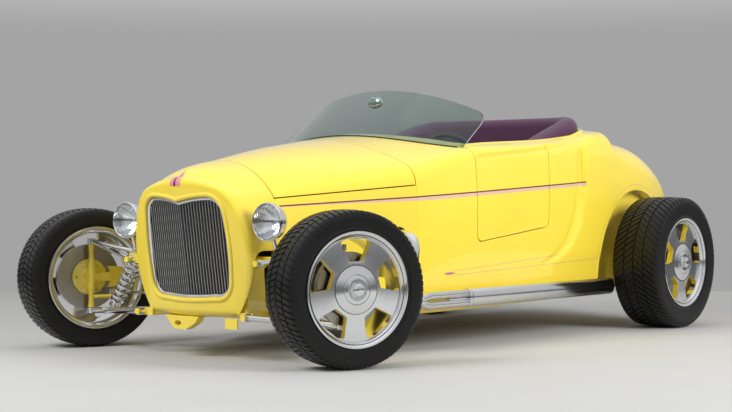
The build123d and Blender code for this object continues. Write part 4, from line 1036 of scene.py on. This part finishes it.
hub_profile = [(-0.042, core), (-0.042, 0.024), (-0.020, 0.032), (-0.010, 0.060), (-0.010, 0.078),
               (-0.008, 0.082), (0.004, 0.082), (0.006, 0.079), (0.006, core)]
bolt_profile = [(-0.018, core), (-0.018, 0.0060), (-0.010, 0.0070), (-0.008, core)]
grip_profile = [(-0.022, 0.099), (-0.022, 0.160), (-0.016, 0.166), (0.041, 0.166), (0.047, 0.160),
                (0.047, 0.099)]
slot_profile = [(0.0055, core), (0.0055, 0.1545), (0.0385, 0.1545), (0.0385, core)]
eye_profile = both_ways([(0.0090, 0.0150), (0.0105, 0.0140), (0.0105, core)])
wedge_corners = [(0.076, -0.050), (0.20, -0.040), (0.20, 0.040), (0.076, 0.050)]
upright = Matrix.Translation((-hub_offset, 0, 0)) @ Matrix.Rotation(-pi / 2, 4, "Y")
for side, name in hands:
    x, y, z = wheel_places["front_" + name][:3]
    low, high = (corner[2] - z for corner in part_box("knuckle_" + name))
    post_profile = [(low + 0.001, core), (low + 0.001, 0.0150), (low + 0.020, 0.0135), (low + 0.060, 0.0125),
                    (-0.045, 0.0185), (0.045, 0.0185), (high - 0.060, 0.0120), (high - 0.020, 0.0130),
                    (high - 0.001, 0.0150), (high - 0.001, core)]
    post = lathe("post", curve_profile(post_profile, 4), 24, plain_paint, upright, 40)
    hub = lathe("hub", hub_profile, 64, plain_paint, smooth=30)
    bolts = [lathe("bolt", bolt_profile, 6, chrome, Matrix.Translation((0, across, up)), 20)
             for across, up in oval_points((0, 0), 0.068, 0.068, 6)]
    grip = lathe("grip", grip_profile, 96, plain_paint, smooth=30)
    combine(grip, lathe("slot", slot_profile, 96, None))
    combine(grip, prism(round_corners(wedge_corners, (0.012, 0, 0, 0.012)), "x", -0.1, 0.1), "INTERSECT")
    soften(grip, 30)
    ear = make("ear", *box_mesh((-0.026, 0.020, -0.020), (-0.002, 0.104, 0.020)), plain_paint)
    arm_z = 0.2272 - z
    arm_end = (-hub_offset - 0.015, 0.095, arm_z)
    arm = tube("arm", [(-hub_offset, 0.0, arm_z), (-hub_offset - 0.004, 0.045, arm_z), arm_end], 0.0095,
               plain_paint, 14, wide=1.25)
    eye = lathe("eye", eye_profile, 24, plain_paint,
                Matrix.Translation(arm_end) @ Matrix.Rotation(-pi / 2, 4, "Y"), 30)
    piece = merge("upright_" + name, [post, hub, *bolts, grip, ear, arm, eye])
    turned = Matrix.Rotation(steer_angle, 4, "Z") @ Matrix.Scale(side, 4, (1, 0, 0))
    piece.data.transform(Matrix.Translation((x, y, z)) @ turned)
    if side < 0:
        tidy_mesh(piece)
    add(piece, "knuckle_" + name, ("knuckle_" + name,))

# Side pipes: a header that drops behind the wheel, twin tubes, a flange and an oval body

def oval_run(name, centre, half_wide, half_tall, start, end, wall, finish):
    """An oval tube along the car, rounded at its rims and open at its end."""
    rings = [(start, wall), (start, 0.001), (start + 0.002, 0), ((start + end) / 2, 0), (end - 0.002, 0),
             (end, 0.0015), (end, wall - 0.001), (end - 0.003, wall), (end - 0.16, wall)]
    points = [(x, y, z) for y, shrink in rings
              for x, z in oval_points(centre, half_wide - shrink, half_tall - shrink, 48)]
    return make(name, points, band_faces(len(rings), 48) + cap_faces(len(rings), 48), finish, 40)


pipe_x, pipe_z = 0.672, 0.2295
header_path = [(0.225, -0.878, 0.520), (0.50, -0.878, 0.520), (0.60, -0.880, 0.518), (0.645, -0.886, 0.502),
               (0.664, -0.892, 0.470), (0.670, -0.906, 0.420), (pipe_x, -0.926, 0.350),
               (pipe_x, -0.936, 0.300), (pipe_x, -0.926, 0.255), (pipe_x, -0.895, 0.232),
               (pipe_x, -0.85, pipe_z)]


def on_side(side, points):
    return [(side * x, y, z) for x, y, z in points]


for side, name in hands:
    centre = (side * pipe_x, pipe_z)
    header = tube("header", on_side(side, curve_profile(header_path, 5)), 0.0235, chrome, 24,
                  facing=(0.0, 0.6, 0.8))
    tubes = []
    for z in (0.2505, 0.2085):
        path = [(pipe_x, -0.86, pipe_z + 0.4 * (z - pipe_z)), (pipe_x, -0.80, z), (pipe_x, -0.495, z)]
        tubes.append(tube("branch", on_side(side, path), 0.0185, alloy, 24))
    flange = oval_run("flange", centre, 0.0295, 0.0445, -0.512, -0.490, 0.02, chrome)
    body = oval_run("body", centre, 0.0285, 0.0415, -0.492, 0.786, 0.004, alloy)
    band = oval_run("band", centre, 0.0292, 0.0422, -0.305, -0.300, 0.002, alloy)
    hangers = []
    for y in (-0.328, 0.462):
        path = [(0.650, y, 0.215), (0.60, y, 0.192), (0.45, y, 0.190), (0.292, y, 0.190)]
        hangers.append(tube("hanger", on_side(side, path), 0.006, black, 10))
    pipe = merge("side_pipe_" + name, [header, *tubes, flange, body, band, *hangers])
    add(pipe, "chassis", ("exhausts",))

# Arch lips, the rolled rim of the cockpit and the seal under the glass

def top_at(x, y):
    """Height of the body's top."""
    return Section(row_at(body_rows, y)).top_z(abs(x))


arch_lip_radius = 0.387
for side, name in hands:
    path = []
    for k in range(61):
        angle = radians(-22 + 224 * k / 60)
        y, z = rear_axle + arch_lip_radius * cos(angle), rear_radius + arch_lip_radius * sin(angle)
        path.append((side * (Section(row_at(body_rows, y)).side_x(z) - 0.001), y, z))
    add(tube("arch_lip_" + name, path, 0.0065, body_paint, 12, facing=(1, 0, 0)), "chassis")


def rim_bead(name, points, body):
    """A rolled edge that follows the top of the body."""
    path = [(x, y, top_at(x, y) - 0.003) for x, y in points]
    add(tube(name, path, 0.0135, body_paint, 14), body)


rim_half = 0.552
rear_rim = [(x, y) for x, y in cockpit_outline(0.007)[41:] if y > 0.441]
rim_arm = (0.246, 0.29, 0.34, 0.39, 0.43)
rear_rim = [(rim_half, y) for y in rim_arm] + rear_rim + [(-rim_half, y) for y in rim_arm[::-1]]
rim_bead("rim_rear", rear_rim, "chassis")
for side, name in hands:
    door_rim = [(side * rim_half, -0.3745 + 0.6125 * k / 12) for k in range(13)]
    rim_bead("rim_door_" + name, door_rim, "door_" + name)

# The seal runs where the glass, an arc in plan that leans back, meets the body's top
glass_half, glass_bow, glass_lean = 0.555, 0.258, 1.310
plan_radius = (glass_half ** 2 + glass_bow ** 2) / (2 * glass_bow)
seal_path = []
for k in range(-40, 41):
    x, z = 0.556 * k / 40, 0.95
    for again in range(8):
        y = -0.636 + plan_radius - sqrt(plan_radius ** 2 - x * x) + (z - 0.951) * glass_lean
        z = top_at(x, y)
    seal_path.append((x, y + 0.003, z))
add(tube("glass_seal", seal_path, 0.0055, black, 10), "chassis")

# Upholstery

seat_thick, seat_roll = 0.108, 0.052


def pad_ring(top, low):
    """Cross-section of the seat back, as (depth towards the cabin, height) points."""
    half, face = seat_thick * 0.5, top - seat_roll
    out = [(0.0, low)]
    out += [(half - half * cos(pi * k / 14), face + seat_roll * sin(pi * k / 14)) for k in range(15)]
    for k in range(1, 13):
        z = face + (low - face) * k / 12
        swell = 0.012 * sin(pi * k / 12) - 0.010 * max(0, 1 - abs(face - 0.018 - z) / 0.012)
        out.append((seat_thick + swell, z))
    return out


def seat_spine(count=80):
    """Points round the rear of the cockpit from left to right, each with its share of the way."""
    arm_x, arm_y = 0.536, (0.262, 0.34, 0.41)
    path = [(arm_x, y) for y in arm_y] + cockpit_outline(-0.009)[41:] + [(-arm_x, y) for y in arm_y[::-1]]
    lengths = [0.0]
    for a, b in zip(path, path[1:]):
        lengths.append(lengths[-1] + hypot(b[0] - a[0], b[1] - a[1]))
    out = []
    for k in range(count + 1):
        want = lengths[-1] * k / count
        i = max(j for j in range(len(path) - 1) if lengths[j] <= want)
        t = (want - lengths[i]) / (lengths[i + 1] - lengths[i])
        a, b = path[i], path[i + 1]
        out.append(((a[0] + (b[0] - a[0]) * t, a[1] + (b[1] - a[1]) * t), want / lengths[-1]))
    return out


# Height of the seat back's roll, along the car
seat_top_line = [(0.24, 0.945), (0.33, 0.982), (0.40, 1.008), (0.48, 1.036), (0.56, 1.062), (0.66, 1.090),
                 (0.80, 1.112)]
spine = seat_spine()
points = []
for i, (here, share) in enumerate(spine):
    before, after = spine[max(i - 1, 0)][0], spine[min(i + 1, len(spine) - 1)][0]
    dx, dy = after[0] - before[0], after[1] - before[1]
    size = hypot(dx, dy)
    inward = (-dy / size, dx / size)
    close = sqrt(max(0.0, 1 - (1 - min(1, min(share, 1 - share) / 0.035)) ** 2))
    top = along_points(seat_top_line, here[1]) - 0.05 * (1 - close)
    ring = pad_ring(top, 0.505 + 0.14 * ease(here[1], 0.5, 0.8))
    for depth, z in ring:
        depth = seat_thick / 2 + (depth - seat_thick / 2) * (0.35 + 0.65 * close)
        points.append((here[0] + inward[0] * depth, here[1] + inward[1] * depth, z))
faces = band_faces(len(spine), len(ring)) + cap_faces(len(spine), len(ring))
seat_back = make("seat_back_pad", points, faces, hide, 70)
add(seat_back, "chassis", ("seat_back",))


def cushion(name, centre, half):
    """A crowned cushion with pulled-in sides and sewn channels."""
    across, deep = 36, 28
    points, faces = [], []
    for level in (1, -1):
        for i in range(across + 1):
            for j in range(deep + 1):
                u, v = 2 * i / across - 1, 2 * j / deep - 1
                edge = (1 - u ** 8) * (1 - v ** 8)
                x = half[0] * u * (1 - 0.02 * (1 - abs(v)))
                y = half[1] * v * (1 - 0.03 * (1 - abs(u)))
                crown = (0.55 + 0.45 * sqrt(max(0, (1 - u * u) * (1 - v * v)))) * edge
                channel = 0.05 * max(0, 1 - abs((u * 3.5) % 1 - 0.5) / 0.10) * edge
                height = half[2] * (crown - channel) if level > 0 else -half[2] * min(1, edge * 3)
                points.append((centre[0] + x, centre[1] + y, centre[2] + height))
    row = deep + 1
    size = (across + 1) * row
    for base in (0, size):
        faces += [(a, a + row, a + row + 1, a + 1)
                  for a in (base + i * row + j for i in range(across) for j in range(deep))]
    loop = [i * row for i in range(across + 1)] + [across * row + j for j in range(1, row)]
    loop += [i * row + deep for i in range(across - 1, -1, -1)] + list(range(deep - 1, 0, -1))
    faces += [(a, b, size + b, size + a) for a, b in zip(loop, loop[1:] + loop[:1])]
    piece = make(name, points, faces, hide, 70)
    add(piece, "chassis", ("seat_cushion",))


for side, name in hands:
    cushion("seat_cushion_" + name, (side * 0.2115, 0.31, 0.468), (0.208, 0.156, 0.046))

# Tyres with their tread

tyre_shapes = {
    "front": dict(radius=front_radius, width=0.214, rim=0.105, pitches=76, slant=0.10,
                  ribs=(0.012, 0.045, 0.052, 0.078)),
    "rear": dict(radius=rear_radius, width=0.258, rim=0.125, pitches=64, slant=0.30,
                 ribs=(0.016, 0.050, 0.057, 0.088)),
}
tread, shoulder = 1, 2


def tyre_mesh(name, radius, width, rim, pitches, slant, ribs):
    """A tyre with blocks cut by slanting grooves and rings, and a stepped sidewall."""
    half, bead = width / 2, 0.2162
    edge = half - 0.014
    first, ring_start, ring_end, last = ribs
    places = sorted({0.0, 0.003, 0.0035, first, ring_start - 0.0005, ring_start, ring_end, ring_end + 0.0005,
                     last, half - 0.022, edge})
    right = [(x, radius - 0.005 * (x / edge) ** 3, x <= 0.003 or ring_start <= x <= ring_end, tread)
             for x in places]
    right += [(half - x, radius - drop, False, shoulder) for x, drop in ((0.008, 0.009), (0.003, 0.016))]
    middle = (rim_lip + radius) / 2
    wall = [(half - 0.0005, radius - 0.026), (half, middle + 0.012), (half - 0.0004, middle - 0.004),
            (half - 0.0016, rim_lip + 0.020), (half - 0.0016, rim_lip + 0.0165),
            (half - 0.0040, rim_lip + 0.0160), (half - 0.006, rim_lip + 0.008),
            (rim - 0.0083, rim_lip + 0.001), (rim - 0.0083, bead)]
    right += [(x, r, False, None) for x, r in wall]
    profile = [(-x, r, ring, kind) for x, r, ring, kind in right[::-1]] + right[1:]
    pitch = 2 * pi / pitches
    # Shares of the pitch at which a slanting groove's edges lie, and whether that is its floor
    marks = [(0.0, False), (0.04, True), (0.22, True), (0.26, False)]
    points = []
    for base, grooved in ((pitch * (c + share), low) for c in range(pitches) for share, low in marks):
        for x, r, ring, kind in profile:
            angle = base + (slant * abs(x) / half if abs(x) > 0.001 else 0)
            if ring or (kind and grooved):
                r = r - (0.0055 if kind == tread else 0.0035)
            points.append((x, r * cos(angle), r * sin(angle)))
    return make(name, points, band_faces(pitches * len(marks), len(profile), True), tyre_rubber, 28)


disc_profile = [(-0.028, core), (-0.028, 0.2075), (0.0005, 0.2075), (0.0012, 0.2020), (-0.0010, 0.1500),
                (0.0040, 0.1020), (0.0040, 0.0995), (0.0016, 0.0985), (0.0016, 0.0965), (0.0052, 0.0955),
                (0.0100, 0.0780), (0.0135, 0.0600), (0.0125, 0.0590), (0.0145, 0.0570), (0.0170, 0.0440),
                (0.0185, 0.0430), (0.0185, core)]
window_corners = [(0.033, 0.112), (0.073, 0.188), (0.040, 0.2015), (-0.040, 0.2015), (-0.073, 0.188),
                  (-0.033, 0.112)]
hexagon_profile = [(0.0175, core), (0.0175, 0.0340), (0.0270, 0.0325), (0.0285, 0.0310), (0.0285, core)]
dome_profile = [(0.0280, core), (0.0280, 0.0255), (0.0305, 0.0250), (0.0345, 0.0200), (0.0362, 0.0110),
                (0.0367, core)]
lock_profile = [(0, core), (0, 0.0075), (0.0035, 0.0070), (0.0035, 0.0045), (0.0010, 0.0040), (0.0010, core)]
valve_profile = [(0, core), (0, 0.0055), (0.012, 0.0050), (0.013, 0.0035), (0.034, 0.0035), (0.035, core)]


def cast_wheel(name, half, finish):
    """A polished wheel: lipped barrel, thick disc with five windows, stepped cap and valve."""
    face = half - 0.025
    back = [(0, 0.2270), (0.001, 0.2325), (0.004, rim_lip), (0.008, 0.2325), (0.0085, 0.2158)]
    front = [(0.0085, 0.2158), (0.008, 0.2325), (0.004, rim_lip), (0.001, 0.2325), (0, 0.2275),
             (0.002, 0.2235), (0.008, 0.2195), (0.013, 0.2125), (0.021, 0.2080), (0.027, 0.2062), (0.045, 0.2045)]
    under = [(0.020, 0.2045), (0.008, 0.2120), (0.003, 0.2190)]
    barrel = [(x - half, r) for x, r in back]
    barrel += [(half - x, r) for x, r in front] + [(x - half, r) for x, r in under]
    rim = lathe("rim", barrel, 120, finish, smooth=40)

    def on_face(name, profile, steps, smooth, radius=0, angle=0, back=0.0):
        """A turned piece on the wheel's face, or off its middle at an angle in degrees."""
        place = (face - back, radius * cos(radians(angle)), radius * sin(radians(angle)))
        return lathe(name, profile, steps, finish, Matrix.Translation(place), smooth)

    disc = on_face("disc", disc_profile, 120, 30)
    outline = round_corners(window_corners, (0.010, 0.012, 0.030, 0.030, 0.012, 0.010), 6)
    for i in range(5):
        window = prism(outline, "x", face - 0.04, face + 0.02)
        window.data.transform(Matrix.Rotation(2 * pi * i / 5, 4, "X"))
        combine(disc, window)
    soften(disc, 30)
    hexagon = on_face("hexagon", hexagon_profile, 6, 20)
    dome = on_face("dome", dome_profile, 40, 50)
    lock = on_face("lock", lock_profile, 20, 30, 0.0700, 20, -0.0085)
    valve = on_face("valve", valve_profile, 16, 30, 0.1975, 54, 0.045)
    return merge(name, [rim, disc, hexagon, dome, lock, valve])


for corner, (x, y, z, disc_depth, turn) in wheel_places.items():
    shape = tyre_shapes[corner.split("_")[0]]
    side = 1 if x > 0 else -1
    place = Matrix.Translation((x, y, z)) @ Matrix.Rotation(turn, 4, "Z") @ Matrix.Scale(side, 4, (1, 0, 0))
    tyre = tyre_mesh("tyre_tread_" + corner, **shape)
    wheel = cast_wheel("cast_wheel_" + corner, shape["rim"], wheel_finishes[corner])
    for piece, smooth in ((tyre, 28), (wheel, 32)):
        piece.data.transform(place)
        tidy_mesh(piece)
        soften(piece, smooth)
    add(tyre, "wheel_" + corner, ("tyre_" + corner,))
    add(wheel, "wheel_" + corner, ("wheel_" + corner,))

# Camera, floor and light

view_turn = 0.6756
camera = bpy.data.objects.new("camera", bpy.data.cameras.new("camera"))
camera.location = (4.7338, -6.3073, 0.6735)
camera.rotation_euler = (pi / 2 - 0.0039, 0, view_turn)
camera.data.lens, camera.data.sensor_width = 76.50, 36
scene.collection.objects.link(camera)
scene.camera = camera

ground = tree_for("pale_floor")
surface(ground, {"Base Color": ground.mix(ground.noise(2.5, 5), (0.56, 0.56, 0.545), (0.52, 0.52, 0.51)),
                 "Roughness": 0.9})
half = 3.6
floor_corners = [(-half, -half, 0), (half, -half, 0), (half, half, 0), (-half, half, 0)]
floor = make("floor", floor_corners, [(0, 1, 2, 3)], ground.owner)
floor.rotation_euler = (0, 0, view_turn)

sky = Tree(bpy.data.worlds.new("studio"))
scene.world = sky.owner
camera_ray, glossy_ray, through_ray = (sky.node("LightPath", out=name) for name in (
    "Is Camera Ray", "Is Glossy Ray", "Is Transmission Ray"))
height = sky.xyz(sky.place("Generated"))[2]
backdrop = sky.mix(sky.ease(height, 0.10, 0.16), (0.37, 0.37, 0.37), (0.60, 0.60, 0.60))
mirrored_low = sky.mix(sky.ease(height, -0.02, 0.10), (0.12, 0.12, 0.12), backdrop)
mirrored_sky = sky.mix(sky.ease(height, 0.45, 0.95), mirrored_low, (0.95, 0.97, 1.0))
backdrop = sky.mix(glossy_ray, backdrop, mirrored_sky)
seen = (camera_ray + glossy_ray + through_ray).math("MINIMUM", 1)
glow = sky.mix(seen, (0.42, 0.42, 0.43), backdrop)
sky.node("OutputWorld", None, {0: sky.node("Background", None, {"Color": glow, "Strength": 1.0})})


def lamp(name, place, size, power):
    """A soft square light aimed at the middle of the car."""
    light = bpy.data.lights.new(name, "AREA")
    light.shape, light.size, light.energy = "SQUARE", size, power
    holder = bpy.data.objects.new(name, light)
    holder.location = place
    holder.rotation_euler = (Vector((0, 0, 0.5)) - Vector(place)).to_track_quat("-Z", "Y").to_euler()
    holder.visible_glossy = False
    scene.collection.objects.link(holder)


lamp("key", (-1.0, -5.6, 4.6), 2.5, 260)
lamp("side", (7.0, 0.2, 3.2), 3.0, 420)
lamp("top", (0.5, 1.5, 6.0), 4.0, 50)

scene.view_settings.view_transform = "Standard"
